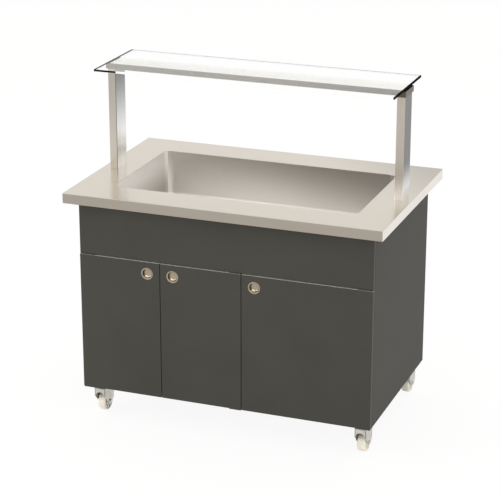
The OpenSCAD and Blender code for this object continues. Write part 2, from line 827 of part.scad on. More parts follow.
module thermostat_knob() color("dimgray")
  difference() {
    union() {
      along_y(knob_x, knob_y, box_z, knob_d / 2, knob_skirt_h);
      along_y(knob_x, knob_y, box_z, knob_d / 2 - knob_skirt_w, knob_l);
      along_y(knob_x, half_d - spindle_l + slip, box_z, spindle_r, spindle_l + box_sheet + spindle_in_knob);
      block(knob_x - knob_bar_w / 2, knob_x + knob_bar_w / 2, knob_y, knob_y + knob_l + knob_bar_h,
            box_z - knob_d / 2 + knob_bar_in, box_z + knob_d / 2 - knob_bar_in);
    }
    block(knob_x - knob_mark_w / 2, knob_x + knob_mark_w / 2,
          knob_y + knob_l + knob_bar_h - knob_mark_deep, knob_y + knob_l + knob_bar_h + cut,
          box_z + knob_mark_in, box_z + knob_d / 2);
  }

module switch_housing(x) {
  body_x = switch_w / 2 - switch_body_in - switch_fit;
  body_z = switch_h / 2 - switch_body_in - switch_fit;
  difference() {
    union() {
      block(x - switch_w / 2, x + switch_w / 2, plate_y, plate_y + bezel_t,
            box_z - switch_h / 2, box_z + switch_h / 2);
      block(x - body_x, x + body_x, plate_y - switch_body_l, plate_y, box_z - body_z, box_z + body_z);
    }
    block(x - body_x + switch_wall, x + body_x - switch_wall, plate_y - switch_body_l + switch_wall,
          plate_y + bezel_t + cut, box_z - body_z + switch_wall, box_z + body_z - switch_wall);
    translate([x, rocker_y, box_z]) rotate([0, 90, 0])
      cylinder(r = rocker_pin_r + run_fit, center = true,
               h = 2 * (body_x - switch_wall + rocker_pin_l + rocker_pin_end));
  }
}

module switch_housings() color([0.1, 0.1, 0.1]) {
  switch_housing(power_x);
  switch_housing(lamp_switch_x);
}

module rocker(x) color("crimson")
  translate([x, rocker_y, box_z]) rotate([rocker_tilt, 0, 0]) {
    half_x = switch_w / 2 - switch_body_in - switch_fit - switch_wall - slip;
    half_z = switch_h / 2 - switch_body_in - switch_fit - switch_wall - rocker_end_gap;
    rotate([90, 0, 90]) linear_extrude(2 * half_x, center = true) polygon([
      [-rocker_back, -half_z + rocker_taper], [rocker_front, -half_z], [rocker_dip, 0],
      [rocker_front, half_z], [-rocker_back, half_z - rocker_taper]
    ]);
    rotate([0, 90, 0]) cylinder(r = rocker_pin_r, h = 2 * (half_x + slip + rocker_pin_l), center = true);
  }

module power_rocker() rocker(power_x);

module lamp_rocker() rocker(lamp_switch_x);

module cable_gland() color("dimgray")
  difference() {
    union() {
      along_y(gland_x, half_d, gland_z, gland_nut_r, gland_nut_h, 6);
      along_y(gland_x, half_d + gland_nut_h, gland_z, gland_cap_r, gland_cap_h);
      along_y(gland_x, back_y - gland_tail_out, gland_z, gland_tail_r, board + gland_tail_out);
      along_y(gland_x, back_y - locknut_h, gland_z, gland_nut_r, locknut_h, 6);
    }
    along_y(gland_x, back_y - gland_tail_out - cut, gland_z, gland_bore_d / 2,
            gland_tail_out + board + gland_nut_h + gland_cap_h + 2 * cut);
  }

module caster_plates() color(zinc)
  at_casters() {
    difference() {
      translate([0, 0, cab_z - caster_plate_t]) linear_extrude(caster_plate_t)
        rounded(caster_plate_w, caster_plate_w, plate_corner_r);
      at_screws(cab_z - caster_plate_t - cut) cylinder(r = screw_r, h = caster_plate_t + 2 * cut);
    }
    translate([0, 0, fork_top + slip])
      cylinder(r = race_neck_r, h = cab_z - caster_plate_t - fork_top - slip);
    translate([0, 0, fork_top + slip]) cylinder(r = race_r, h = race_h);
    translate([0, 0, fork_top - fork_t - slip]) cylinder(r = kingpin_r, h = fork_t + 2 * slip);
    translate([0, 0, fork_top - fork_t - slip - kingpin_head_h])
      cylinder(r = kingpin_head_r, h = kingpin_head_h);
  }

module caster_screws() color(zinc)
  at_casters() at_screws(cab_z - caster_plate_t) {
    cylinder(r = screw_r, h = caster_plate_t + screw_l);
    translate([0, 0, -screw_head_h]) cylinder(r = screw_head_r, h = screw_head_h);
  }

// A caster's own frame: X along the axle, Y along the trail, at the swivel axis
module in_caster(sx, sy)
  translate([sx * caster_x, sy * caster_y, 0]) children();

module fork_leg_outline()
  hull() {
    polygon([[crown_front, fork_top], [crown_rear, fork_top], [crown_front, arch_z]]);
    translate([caster_trail, axle_z]) circle(axle_boss_r);
    translate([crown_rear - leg_round_r, axle_z + leg_round_up]) circle(leg_round_r);
  }

module fork(sx, sy) color(zinc)
  in_caster(sx, sy) difference() {
    union() {
      for (side = [-1, 1]) translate([side * (fork_inner + fork_t) / 2 - fork_t / 2, 0, 0])
        rotate([90, 0, 90]) linear_extrude(fork_t) fork_leg_outline();
      block(-fork_outer / 2, fork_outer / 2, crown_front, crown_rear, fork_top - fork_t, fork_top);
      for (y = [crown_front, crown_rear - fork_t])
        block(-fork_outer / 2, fork_outer / 2, y, y + fork_t, arch_z, fork_top);
    }
    translate([0, crown_front - cut, arch_z]) rotate([-90, 0, 0]) cylinder(r = arch_r, h = fork_l + 2 * cut);
    translate([0, 0, fork_top - fork_t - cut]) cylinder(r = kingpin_r + run_fit, h = fork_t + 2 * cut);
    translate([0, caster_trail, axle_z]) rotate([0, 90, 0])
      cylinder(r = axle_r, h = fork_outer + 2 * cut, center = true);
  }

// Half of a wheel's section, from the bore out to the tread, on one side of its middle plane
function wheel_half(side) = [
  [sleeve_d / 2 + run_fit, side * (wheel_w / 2 + hub_out)],
  [sleeve_d / 2 + hub_wall, side * (wheel_w / 2 + hub_out)],
  [sleeve_d / 2 + hub_wall + hub_taper, side * (wheel_w / 2 - web_in)],
  [wheel_d / 2 - tread_w, side * (wheel_w / 2 - web_in)],
  [wheel_d / 2 - tread_w + tread_flat, side * wheel_w / 2],
  [wheel_d / 2 - tread_round, side * wheel_w / 2],
  [wheel_d / 2, side * (wheel_w / 2 - web_in)]
];

module wheel(sx, sy) color(cream)
  in_caster(sx, sy) translate([0, caster_trail, axle_z]) rotate([0, 90, 0]) rotate_extrude()
    polygon(concat(wheel_half(-1), turned_round(wheel_half(1))));

// The axle: a sleeve between the fork's legs, a bolt through both and its nut
module axle(sx, sy) color(zinc)
  in_caster(sx, sy) translate([0, caster_trail, axle_z]) rotate([0, 90, 0]) {
    difference() {
      cylinder(d = sleeve_d, h = fork_inner, center = true);
      cylinder(r = axle_r, h = fork_inner + 2 * cut, center = true);
    }
    translate([0, 0, -fork_outer / 2 - nut_h - bolt_end])
      cylinder(r = axle_r, h = fork_outer + nut_h + bolt_end);
    translate([0, 0, fork_outer / 2]) cylinder(r = bolt_hex_r, h = bolt_hex_h, $fn = 6);
    translate([0, 0, -fork_outer / 2 - nut_h]) cylinder(r = bolt_hex_r, h = nut_h, $fn = 6);
  }

module front_left_fork() fork(-1, -1);

module front_right_fork() fork(1, -1);

module back_left_fork() fork(-1, 1);

module back_right_fork() fork(1, 1);

module front_left_wheel() wheel(-1, -1);

module front_right_wheel() wheel(1, -1);

module back_left_wheel() wheel(-1, 1);

module back_right_wheel() wheel(1, 1);

module front_left_axle() axle(-1, -1);

module front_right_axle() axle(1, -1);

module back_left_axle() axle(-1, 1);

module back_right_axle() axle(1, 1);

worktop();
worktop_core();
well_tank();
drain_outlet();
drain_valve();
drain_lever();
heating_element();
well_jacket();
left_side_panel();
right_side_panel();
back_panel();
bottom_panel();
cupboard_top();
front_fascia();
partition();
left_shelf();
right_shelf();
shelf_pins();
door_pivots();
door_catches();
left_door();
middle_door();
right_door();
left_pull();
middle_pull();
right_pull();
left_strike();
middle_strike();
right_strike();
left_post();
right_post();
post_clamp_plates();
gantry_bolts();
lamp_hood();
lamp_reflector();
heat_lamps();
lamp_holders();
lamp_guard();
glass_shelf();
control_box();
thermostat();
thermostat_knob();
switch_housings();
power_rocker();
lamp_rocker();
cable_gland();
caster_plates();
caster_screws();
front_left_fork();
front_right_fork();
back_left_fork();
back_right_fork();
front_left_wheel();
front_right_wheel();
back_left_wheel();
back_right_wheel();
front_left_axle();
front_right_axle();
back_left_axle();
back_right_axle();
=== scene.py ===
import math

import bmesh
import bpy
from mathutils import Matrix, Vector


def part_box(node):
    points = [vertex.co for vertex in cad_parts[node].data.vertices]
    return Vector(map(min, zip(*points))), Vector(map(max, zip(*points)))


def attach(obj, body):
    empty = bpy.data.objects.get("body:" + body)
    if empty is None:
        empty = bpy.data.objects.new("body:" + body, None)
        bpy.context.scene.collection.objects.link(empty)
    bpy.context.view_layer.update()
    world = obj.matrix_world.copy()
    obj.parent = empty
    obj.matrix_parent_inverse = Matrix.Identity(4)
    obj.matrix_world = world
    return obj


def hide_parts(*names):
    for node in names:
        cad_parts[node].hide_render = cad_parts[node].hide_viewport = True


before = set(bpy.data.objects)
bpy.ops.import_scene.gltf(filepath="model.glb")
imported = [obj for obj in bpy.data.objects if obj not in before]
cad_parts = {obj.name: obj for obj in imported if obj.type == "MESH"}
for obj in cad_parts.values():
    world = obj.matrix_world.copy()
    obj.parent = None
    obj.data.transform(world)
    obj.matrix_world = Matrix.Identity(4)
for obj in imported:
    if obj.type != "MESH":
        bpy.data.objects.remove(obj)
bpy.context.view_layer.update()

mm = 0.001
rightward = Vector((1, 0, 0))
backward = Vector((0, 1, 0))
upward = Vector((0, 0, 1))
weldGap = 0.002 * mm  # points closer than this are one point


# colour and node helpers

noiseSpan = {"From Min": 0.3, "From Max": 0.7}  # nearly all noise values lie in here


def linear(code):
    # sRGB hex to the linear colour the shaders take
    channels = []
    for start in (0, 2, 4):
        value = int(code[start:start + 2], 16) / 255
        channels.append(value / 12.92 if value <= 0.04045 else ((value + 0.055) / 1.055) ** 2.4)
    return (*channels, 1.0)


def addNode(tree, kind, values=None, **settings):
    node = tree.nodes.new(kind)
    for name, value in settings.items():
        setattr(node, name, value)
    for socket, value in (values or {}).items():
        if isinstance(value, bpy.types.NodeSocket):
            tree.links.new(value, node.inputs[socket])
        else:
            node.inputs[socket].default_value = value
    return node


def makeFinish(name, colors, grain, roughness, relief=0.02, cloud=200, along=None, values=None):
    # two close colours and a grain that roughness and relief follow; lengths are in mm
    material = bpy.data.materials.new(name)
    material.use_nodes = True
    tree = material.node_tree
    shader = tree.nodes["Principled BSDF"]
    for socket, value in (values or {}).items():
        shader.inputs[socket].default_value = value
    coords = addNode(tree, "ShaderNodeTexCoord").outputs["Object"]
    mapping = addNode(tree, "ShaderNodeMapping", {
        "Vector": coords, "Scale": [1 / (length * mm) for length in grain],
    })
    grains = addNode(tree, "ShaderNodeTexNoise", {"Vector": mapping.outputs[0], "Scale": 1.0, "Detail": 2.0})
    if along:
        # the first colour changes to the second between two distances along a direction
        direction, low, high = along
        place = addNode(tree, "ShaderNodeVectorMath", {0: coords, 1: direction}, operation="DOT_PRODUCT")
        share = addNode(tree, "ShaderNodeMapRange", {
            "Value": place.outputs["Value"], "From Min": low * mm, "From Max": high * mm,
        }, interpolation_type="SMOOTHSTEP")
    else:
        clouds = addNode(tree, "ShaderNodeTexNoise", {
            "Vector": coords, "Scale": 1 / (cloud * mm), "Detail": 3.0,
        })
        share = addNode(tree, "ShaderNodeMapRange", {"Value": clouds.outputs["Fac"], **noiseSpan})
    color = addNode(tree, "ShaderNodeMix", {
        0: share.outputs[0], 6: linear(colors[0]), 7: linear(colors[1]),
    }, data_type="RGBA")
    gloss = addNode(tree, "ShaderNodeMapRange", {
        "Value": grains.outputs["Fac"], **noiseSpan, "To Min": roughness[0], "To Max": roughness[1],
    })
    bump = addNode(tree, "ShaderNodeBump", {"Height": grains.outputs["Fac"], "Distance": relief * mm})
    tree.links.new(color.outputs[2], shader.inputs["Base Color"])
    tree.links.new(gloss.outputs[0], shader.inputs["Roughness"])
    tree.links.new(bump.outputs[0], shader.inputs["Normal"])
    return material


metal = {"Metallic": 1.0}
hazyMetal = {"Metallic": 0.8}  # a haze of fine scratches lets the light of the lamps lift it
satinMetal = {"Metallic": 0.75}  # satin scatters more
board = {"Specular IOR Level": 0.05}
clear = {"Transmission Weight": 1.0}

# grains as lengths along x, y and z in mm; belt lines of 0.1 mm are drawn 1.2 mm wide to show as streaks
beltLong = (150, 1.2, 1.2)
beltAcross = (1.2, 120, 1.2)
beltUp = (1.2, 1.2, 140)
drawnUp = (2, 2, 80)  # deep drawing leaves upright lines
plated = (3, 3, 3)  # plating clouds over a few mm
spun = (1.5, 1.5, 1.5)  # tool marks of 0.3 mm, drawn 1.5 mm wide
moulded = (1, 1, 1)  # a spark eroded mould leaves a texture of 0.3 mm, drawn 1 mm wide
ground = (2.5, 2.5, 2.5)  # grinding marks of 0.5 mm, drawn 2.5 mm wide


def makeMetal(name, colors, grain, roughness, relief=0.008, values=metal, **spread):
    return makeFinish(name, colors, grain, roughness, relief=relief, values=values, **spread)


# stainless sheet, brushed: faint streaks; darker towards the far right corner, a painted shade standing in
# for the right post's reflection
steelTop = makeMetal("stainlessBrushedLengthways", ("D4CCBF", "B6AFA3"), beltLong, (0.2, 0.26),
                     along=((0.7, 0.7, 0), 300, 720))
# the folded edges before and behind are the top's steel painted greyer: painted shade
steelFoldPaintedShade = makeMetal("stainlessFoldedFrontPaintedShade", ("AAA297", "A69E92"), beltLong, (0.3, 0.38), cloud=330)
# the ends are brushed across; their lighter colour is a painted highlight
steelEndPaintedHighlight = makeMetal("stainlessFoldedEndPaintedHighlight", ("EEEAE3", "E9E4DC"), beltAcross, (0.32, 0.4), cloud=330)
# the hood's lid lies under glass and is polished smooth; its near white colour is painted light
steelLidPaintedLight = makeMetal("stainlessPolishedLidPaintedLight", ("FFFDF8", "FFFBF2"), beltLong, (0.06, 0.1),
                     relief=0.004, cloud=330)
# the hood's fold is the steel painted dark as shade, and painted darker still towards the right
steelHoodPaintedShade = makeMetal("stainlessHoodFoldPaintedShade", ("786F5F", "5B5244"), beltLong, (0.3, 0.38),
                      along=(rightward, 0, 620))
# tube, drawn and brushed upright; lighter towards its foot, a painted reflection of the worktop
steelTube = makeMetal("stainlessTubeFront", ("CAC3B9", "B3ACA3"), beltUp, (0.26, 0.34),
                      along=(upward, 930, 1280))
# the right post's front is a lighter copy of the tube, painted light, white at the foot as a painted
# reflection of the worktop; it also colours that post's bend
steelTubePaintedLight = makeMetal("stainlessTubeFrontPaintedLight", ("FFFCF6", "BAB2A8"), beltUp, (0.26, 0.34),
                            along=(upward, 905, 1020), values=hazyMetal)
# flanks carry a painted reflection: white of the worktop at the foot, the darker open room higher up, the
# right flank painted darker as shade
steelFlankLeft = makeMetal("stainlessTubeFlankLeft", ("FFFFFF", "7A7B79"), beltUp, (0.2, 0.28),
                           along=(upward, 960, 1330), values=hazyMetal)
steelFlankRight = makeMetal("stainlessTubeFlankRight", ("FFFFFF", "565654"), beltUp, (0.2, 0.28),
                            along=(upward, 900, 1060), values=hazyMetal)
# the bend between front and flank carries a fine dark line of painted shade
steelCreasePaintedShade = makeMetal("stainlessTubeBendPaintedShade", ("66645F", "5C5A55"), beltUp, (0.3, 0.4))
# deep drawn pan: an even satin; the long walls are painted darker upwards and to the right: painted shade
steelWell = makeMetal("stainlessDrawnLongWall", ("EDE9E3", "9D9790"), drawnUp, (0.4, 0.5),
                      along=((0.15, 0, 0.99), 700, 960))
# the end walls carry a painted reflection: darker at the foot for the floor, bright at the rim for the room
steelWellEnd = makeMetal("stainlessDrawnEndWall", ("BEBAB4", "FFFEFB"), drawnUp, (0.4, 0.5),
                         along=(upward, 750, 890), values=satinMetal)
steelWellFloor = makeMetal("stainlessDrawnFloor", ("F2EFEA", "ECE9E4"), (80, 2, 2), (0.46, 0.56), cloud=240)
# high pressure laminate: a pearl grain of 0.5 mm, drawn 1.4 mm wide, breaks the gloss
laminate = makeFinish("darkGreyLaminate", ("484743", "454440"), (1.4, 1.4, 1.4), (0.44, 0.56),
                      relief=0.03, cloud=200, values=board)
# glued edge band, smoother and a shade lighter than the faces
edgeBand = makeFinish("darkGreyEdgeBand", ("504F4A", "4C4B46"), (2, 2, 2), (0.38, 0.48),
                      cloud=120, values=board)
# the doors' upper edges are painted pale: a painted highlight along their top edge
paintedHighlightBand = makeFinish("paintedHighlightEdgeBand", ("E0DFD8", "CFCEC7"), (6, 2, 2), (0.35, 0.5), cloud=60, values=board)
# electroplated zinc: a cold grey with cloudy patches
zinc = makeMetal("zincPlatedSteel", ("E6E7E5", "D2D3D1"), plated, (0.3, 0.44), relief=0.02, cloud=18)
# the forks' plating has dulled to a warm grey
dullZinc = makeMetal("dulledZincFork", ("D6D3CB", "BFBCB4"), plated, (0.34, 0.46), relief=0.02, cloud=24)
# black chromate over zinc keeps the pivots quiet in their gap
darkZinc = makeMetal("blackPassivatedZinc", ("6A6964", "5C5B57"), plated, (0.4, 0.55), relief=0.02, cloud=18)
# spun and satin nickelled: warm and soft; the bowl's dark side is painted shade and its bright foot a painted
# highlight
nickel = makeMetal("satinNickelSpun", ("A89D8B", "9E9280"), spun, (0.22, 0.34), relief=0.01, cloud=30)
nickelShade = makeMetal("satinNickelShaded", ("7E725E", "6C614E"), spun, (0.3, 0.4), relief=0.01, cloud=12)
nickelGleam = makeMetal("satinNickelBright", ("FFF2D6", "FFEDCC"), spun, (0.2, 0.3), relief=0.01, cloud=12)
# rolled aluminium reflector, bright with a light haze and long rolling lines
aluminium = makeMetal("rolledAluminium", ("ECECEA", "DCDCDA"), (90, 1.5, 1.5), (0.12, 0.24),
                      relief=0.01, cloud=80)
# sand cast brass: a grainy, slightly tarnished yellow
brass = makeMetal("castBrass", ("C9A867", "A88848"), (1.2, 1.2, 1.2), (0.3, 0.48), relief=0.06, cloud=12)
# steel that has been hot: brown and straw tints
heatedSteel = makeMetal("heatTintedSteel", ("6E675C", "4B443B"), (2, 2, 2), (0.35, 0.5),
                        relief=0.02, cloud=25)
# moulded polyamide: an even fine texture that takes the gloss down
blackPlastic = makeFinish("blackMouldedPolyamide", ("1C1C1C", "141414"), moulded, (0.38, 0.52), cloud=40)
greyPlastic = makeFinish("greyMouldedPolyamide", ("9A9A98", "8C8C8A"), moulded, (0.38, 0.52), cloud=40)
whitePlastic = makeFinish("whiteMouldedAcetal", ("E9E7E1", "DDDAD3"), moulded, (0.34, 0.46), cloud=40)
# natural polyamide wheels: ivory, slightly see-through at the rim, scuffed
wheelPlastic = makeFinish("naturalPolyamideWheel", ("F7F3E7", "ECE8DA"), (4, 1, 1), (0.16, 0.28),
                          relief=0.03, cloud=25,
                          values={"Subsurface Weight": 0.1, "Subsurface Scale": 2 * mm})
# polycarbonate rockers: deep colour and a hard gloss
redPlastic = makeFinish("redPolycarbonate", ("B81F1A", "9C1613"), moulded, (0.16, 0.26),
                        relief=0.005, cloud=20)
amberPlastic = makeFinish("amberPolycarbonate", ("E08A1E", "C87314"), moulded, (0.16, 0.26),
                          relief=0.005, cloud=20)
# dipped vinyl sleeve: soft sheen with slow runs
redDip = makeFinish("redDippedSleeve", ("A5201A", "8C1813"), (6, 6, 14), (0.4, 0.56), relief=0.08, cloud=20)
# pressed steatite: chalky white with a fine tooth
ceramic = makeFinish("pressedSteatite", ("EFECE4", "E3DFD5"), (0.8, 0.8, 0.8), (0.5, 0.66),
                     relief=0.03, cloud=20)
# pad printed paint: a dry, even white
whiteMark = makeFinish("whitePadPrint", ("E8E8E6", "DADAD8"), moulded, (0.45, 0.55), relief=0.01, cloud=20)
# chipboard: flakes of 3 to 6 mm lying flat
core = makeFinish("rawChipboard", ("C9A877", "8F6C42"), (6, 6, 2.4), (0.8, 0.92), relief=0.3, cloud=9)
# mineral wool slab: fibres of 11 mm in thin layers
wool = makeFinish("mineralWoolSlab", ("D8C68A", "A89052"), (11, 11, 2), (0.9, 1.0),
                  relief=1.0, cloud=30, values={"Sheen Weight": 0.3})
# toughened float glass: clear, with the slow wave that the rollers leave
glassFace = makeFinish("toughenedFloatGlass", ("FFFFFF", "FDFEFE"), (250, 250, 250), (0.0, 0.01),
                       cloud=300, values={**clear, "IOR": 1.2})
# ground edges: satin and pale along the sides; the ends are painted near black, painted shade where the end
# is seen through the plate
glassSide = makeFinish("groundGlassSide", ("F7F8F7", "F0F2F1"), ground, (0.25, 0.4), cloud=60)
glassEndPaintedShade = makeFinish("groundGlassEndPaintedShade", ("1C1F1E", "141716"), ground, (0.4, 0.5),
                      cloud=60, values={"Specular IOR Level": 0.0})
# fused quartz: clear with fine draw lines along the tube
quartz = makeFinish("fusedQuartz", ("FCFAF7", "FAF6F1"), (60, 1, 1), (0.0, 0.06),
                    relief=0.01, cloud=60, values={**clear, "IOR": 1.46})
print("materials made")


# mesh helpers

facing = 0.7  # a face looks along an axis if its normal has more than this share of it
flat = 0.9  # the same for faces that lie flat
roundShare = 0.3  # the middle point of a rounded edge lies this share of its width in
sharpAngle = 32  # from this many degrees between its faces an edge is drawn sharp
hexagon = 6  # sides of nuts and bolt heads


def addObject(name, data):
    made = bpy.data.objects.new(name, data)
    bpy.context.scene.collection.objects.link(made)
    return made


def addMesh(name, bm, materials):
    mesh = bpy.data.meshes.new(name)
    bm.to_mesh(mesh)
    bm.free()
    for material in materials:
        mesh.materials.append(material)
    return addObject(name, mesh)


def claim(bm, slot):
    # gives the faces made since the last call their material slot
    layers = bm.faces.layers.int
    claimed = layers.get("claimed") or layers.new("claimed")
    for face in bm.faces:
        if not face[claimed]:
            face.material_index = slot
            face[claimed] = 1


def easeEdges(bm, edges, width, segments=2, clamp=False):
    bmesh.ops.bevel(bm, geom=list(edges), offset=width, offset_type="OFFSET", segments=segments,
                    profile=0.5, affect="EDGES", clamp_overlap=clamp, material=-1)


def edgesOf(verts):
    return list({edge for vert in verts for edge in vert.link_edges})


def addBox(bm, low, high, bevel=0.0, segments=2, slot=0):
    low, high = Vector(low), Vector(high)
    matrix = Matrix.Translation((low + high) / 2) @ Matrix.Diagonal((*(high - low), 1))
    verts = bmesh.ops.create_cube(bm, size=1, matrix=matrix)["verts"]
    if bevel:
        easeEdges(bm, edgesOf(verts), bevel, segments)
    claim(bm, slot)


def axisTurn(axis):
    return Vector(axis).to_track_quat("Z", "Y").to_matrix().to_4x4()


def addRod(bm, start, end, radius, sides, slot=0, bevel=0.0):
    start, end = Vector(start), Vector(end)
    matrix = Matrix.Translation((start + end) / 2) @ axisTurn(end - start)
    verts = bmesh.ops.create_cone(bm, cap_ends=True, segments=sides, radius1=radius, radius2=radius,
                                  depth=(end - start).length, matrix=matrix)["verts"]
    if bevel:
        easeEdges(bm, [edge for edge in edgesOf(verts)
                       if any(len(face.verts) == sides for face in edge.link_faces)], bevel)
    claim(bm, slot)


def addLathe(bm, profile, centre, axis, steps):
    # profile holds (radius, distance along the axis) pairs
    turn = axisTurn(axis)
    centre = Vector(centre)
    verts = [bm.verts.new(centre + turn @ Vector((radius, 0, along))) for radius, along in profile]
    edges = [bm.edges.new(pair) for pair in zip(verts, verts[1:])]
    bmesh.ops.spin(bm, geom=verts + edges, cent=centre, axis=Vector(axis), angle=math.tau,
                   steps=steps, use_merge=True)
    claim(bm, 0)


def quarterTurn(steps):
    # angles from 0 to 90 degrees
    return [step / steps * math.pi / 2 for step in range(steps + 1)]


def roundedLoop(width, depth, inset, radius, height, segments):
    # a rectangle round the origin, inset from its size, with rounded corners
    x = width / 2 - inset - radius
    y = depth / 2 - inset - radius
    points = []
    for turn, (sx, sy) in enumerate(((1, 1), (-1, 1), (-1, -1), (1, -1))):
        for step in range(segments + 1):
            angle = (turn + step / segments) * math.pi / 2
            points.append(Vector((sx * x + radius * math.cos(angle),
                                  sy * y + radius * math.sin(angle), height)))
    return points


def addSkin(bm, loops, closed=(False, False)):
    # pulls the edges of the first loop out to each next loop of as many points
    verts = [bm.verts.new(point) for point in loops[0]]
    ring = [bm.edges.new((verts[i - 1], verts[i])) for i in range(len(verts))]
    if closed[0]:
        bmesh.ops.contextual_create(bm, geom=ring)
    for before, after in zip(loops, loops[1:]):
        made = bmesh.ops.extrude_edge_only(bm, edges=ring)["geom"]
        verts = {item for item in made if isinstance(item, bmesh.types.BMVert)}
        edges = [item for item in made if isinstance(item, bmesh.types.BMEdge)]
        ring = [edge for edge in edges if verts.issuperset(edge.verts)]
        for vert in verts:
            nearest = min(range(len(before)), key=lambda i: (before[i] - vert.co).length_squared)
            vert.co = after[nearest]
    if closed[1]:
        bmesh.ops.contextual_create(bm, geom=ring)
    claim(bm, 0)


def addOutline(bm, points, thickness, bevel=0.0, slot=0):
    # a flat outline pushed along the thickness vector
    verts = [bm.verts.new(point) for point in points]
    face = bm.faces.new(verts)
    made = bmesh.ops.extrude_face_region(bm, geom=[face])
    moved = [item for item in made["geom"] if isinstance(item, bmesh.types.BMVert)]
    bmesh.ops.translate(bm, verts=moved, vec=thickness)
    if bevel:
        easeEdges(bm, edgesOf(verts + moved), bevel, clamp=True)
    claim(bm, slot)


def addBar(bm, start, end, across, thickness, slot=0):
    # a flat bar from start to end; across is half of its width
    addOutline(bm, [start + across, end + across, end - across, start - across], thickness, slot=slot)


def makePiece(name, bm, materials, replaced, body="trolley"):
    bm.faces.layers.int.remove(bm.faces.layers.int["claimed"])
    bmesh.ops.remove_doubles(bm, verts=bm.verts, dist=weldGap)
    bmesh.ops.recalc_face_normals(bm, faces=bm.faces)
    piece = addMesh(name, bm, materials)
    piece.data.shade_smooth()
    piece.data.set_sharp_from_angle(angle=math.radians(sharpAngle))
    weighted = piece.modifiers.new("weightedNormals", "WEIGHTED_NORMAL")
    weighted.keep_sharp = True
    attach(piece, body)
    if replaced:
        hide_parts(*replaced)


# worktop: one folded sheet with a pressed opening, which is as large as the inside of the tank

opening = {"radius": 33 * mm, "tankSheet": 1.2 * mm}
worktop = {"sheet": 1.5 * mm, "bend": 2.5 * mm, "bendSteps": 4, "cornerRadius": 3 * mm, "cornerSteps": 8,
           "fold": 20 * mm, "foldRadius": 2 * mm, "lip": 0.8 * mm}


def openingSize():
    low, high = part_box("well_tank")
    sheet = opening["tankSheet"]
    return high.x - low.x - 2 * sheet, high.y - low.y - 2 * sheet


def buildWorktop():
    low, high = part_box("worktop")
    width = high.x - low.x
    depth = high.y - low.y
    wellWidth, wellDepth = openingSize()
    sheet = worktop["sheet"]
    bend = worktop["bend"]
    lip = worktop["lip"]
    fold = worktop["fold"]
    steps = worktop["cornerSteps"]
    loops = []
    for grow, drop in ((0, sheet), (0, lip), (roundShare * lip, roundShare * lip), (lip, 0)):
        loops.append(roundedLoop(wellWidth, wellDepth, -grow, opening["radius"] + grow, high.z - drop, steps))
    bends = quarterTurn(worktop["bendSteps"])
    edge = [(bend * (1 - math.sin(angle)), high.z - bend * (1 - math.cos(angle))) for angle in bends]
    edge += [(bend * (1 - math.cos(angle)), low.z + bend * (1 - math.sin(angle))) for angle in bends]
    for inset, height in edge:
        radius = worktop["cornerRadius"] + bend - inset
        loops.append(roundedLoop(width, depth, inset, radius, height, steps))
    for height in (low.z, low.z + sheet):
        loops.append(roundedLoop(width, depth, fold, worktop["foldRadius"], height, steps))
    bm = bmesh.new()
    addSkin(bm, loops)
    bm.normal_update()
    for face in bm.faces:
        middle = face.calc_center_median()
        if abs(face.normal.x) > facing and abs(middle.x) > width / 2 - bend:
            face.material_index = 1
        elif abs(face.normal.y) > facing and abs(middle.y) > depth / 2 - bend:
            face.material_index = 2
    makePiece("worktopSheet", bm, [steelTop, steelEndPaintedHighlight, steelFoldPaintedShade], ["worktop"])


buildWorktop()
print("worktop made")


# well: deep drawn pan with a rounded floor

well = {"cove": 14 * mm, "coveSteps": 6, "cornerSteps": 10}


def buildWell():
    low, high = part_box("well_tank")
    sheet = opening["tankSheet"]
    width, depth = openingSize()
    floor = low.z + sheet
    cove = well["cove"]
    bm = bmesh.new()
    rims = []
    for offset, foot in ((0, floor), (sheet, low.z)):
        wall = [(-offset, high.z), (-offset, floor + cove)]
        for angle in quarterTurn(well["coveSteps"])[1:]:
            wall.append((cove * (1 - math.cos(angle)) - offset, foot + cove * (1 - math.sin(angle))))
        loops = [roundedLoop(width, depth, inset, opening["radius"] - inset, height, well["cornerSteps"])
                 for inset, height in wall]
        addSkin(bm, loops, (False, True))
        rims.append(loops[0])
    addSkin(bm, rims)
    bm.normal_update()
    for face in bm.faces:
        if abs(face.normal.z) > facing:
            face.material_index = 2
        elif abs(face.normal.x) > facing:
            face.material_index = 1
    makePiece("wellPan", bm, [steelWell, steelWellEnd, steelWellFloor], ["well_tank"])


buildWell()


# drain: flange with a strainer and a rolled rim; the strainer's holes are thin black discs of painted shade

drain = {"dish": 12 * mm, "dishDepth": 1.4 * mm, "dishWall": 13 * mm, "dishWallTop": 0.5 * mm,
         "dishRim": 15 * mm, "flange": 2 * mm, "rim": 1.2 * mm, "pipe": 13 * mm, "bore": 10 * mm,
         "steps": 48, "strainer": 1 * mm, "hole": 2 * mm, "holeDisc": 0.1 * mm, "pitch": 5.5 * mm}


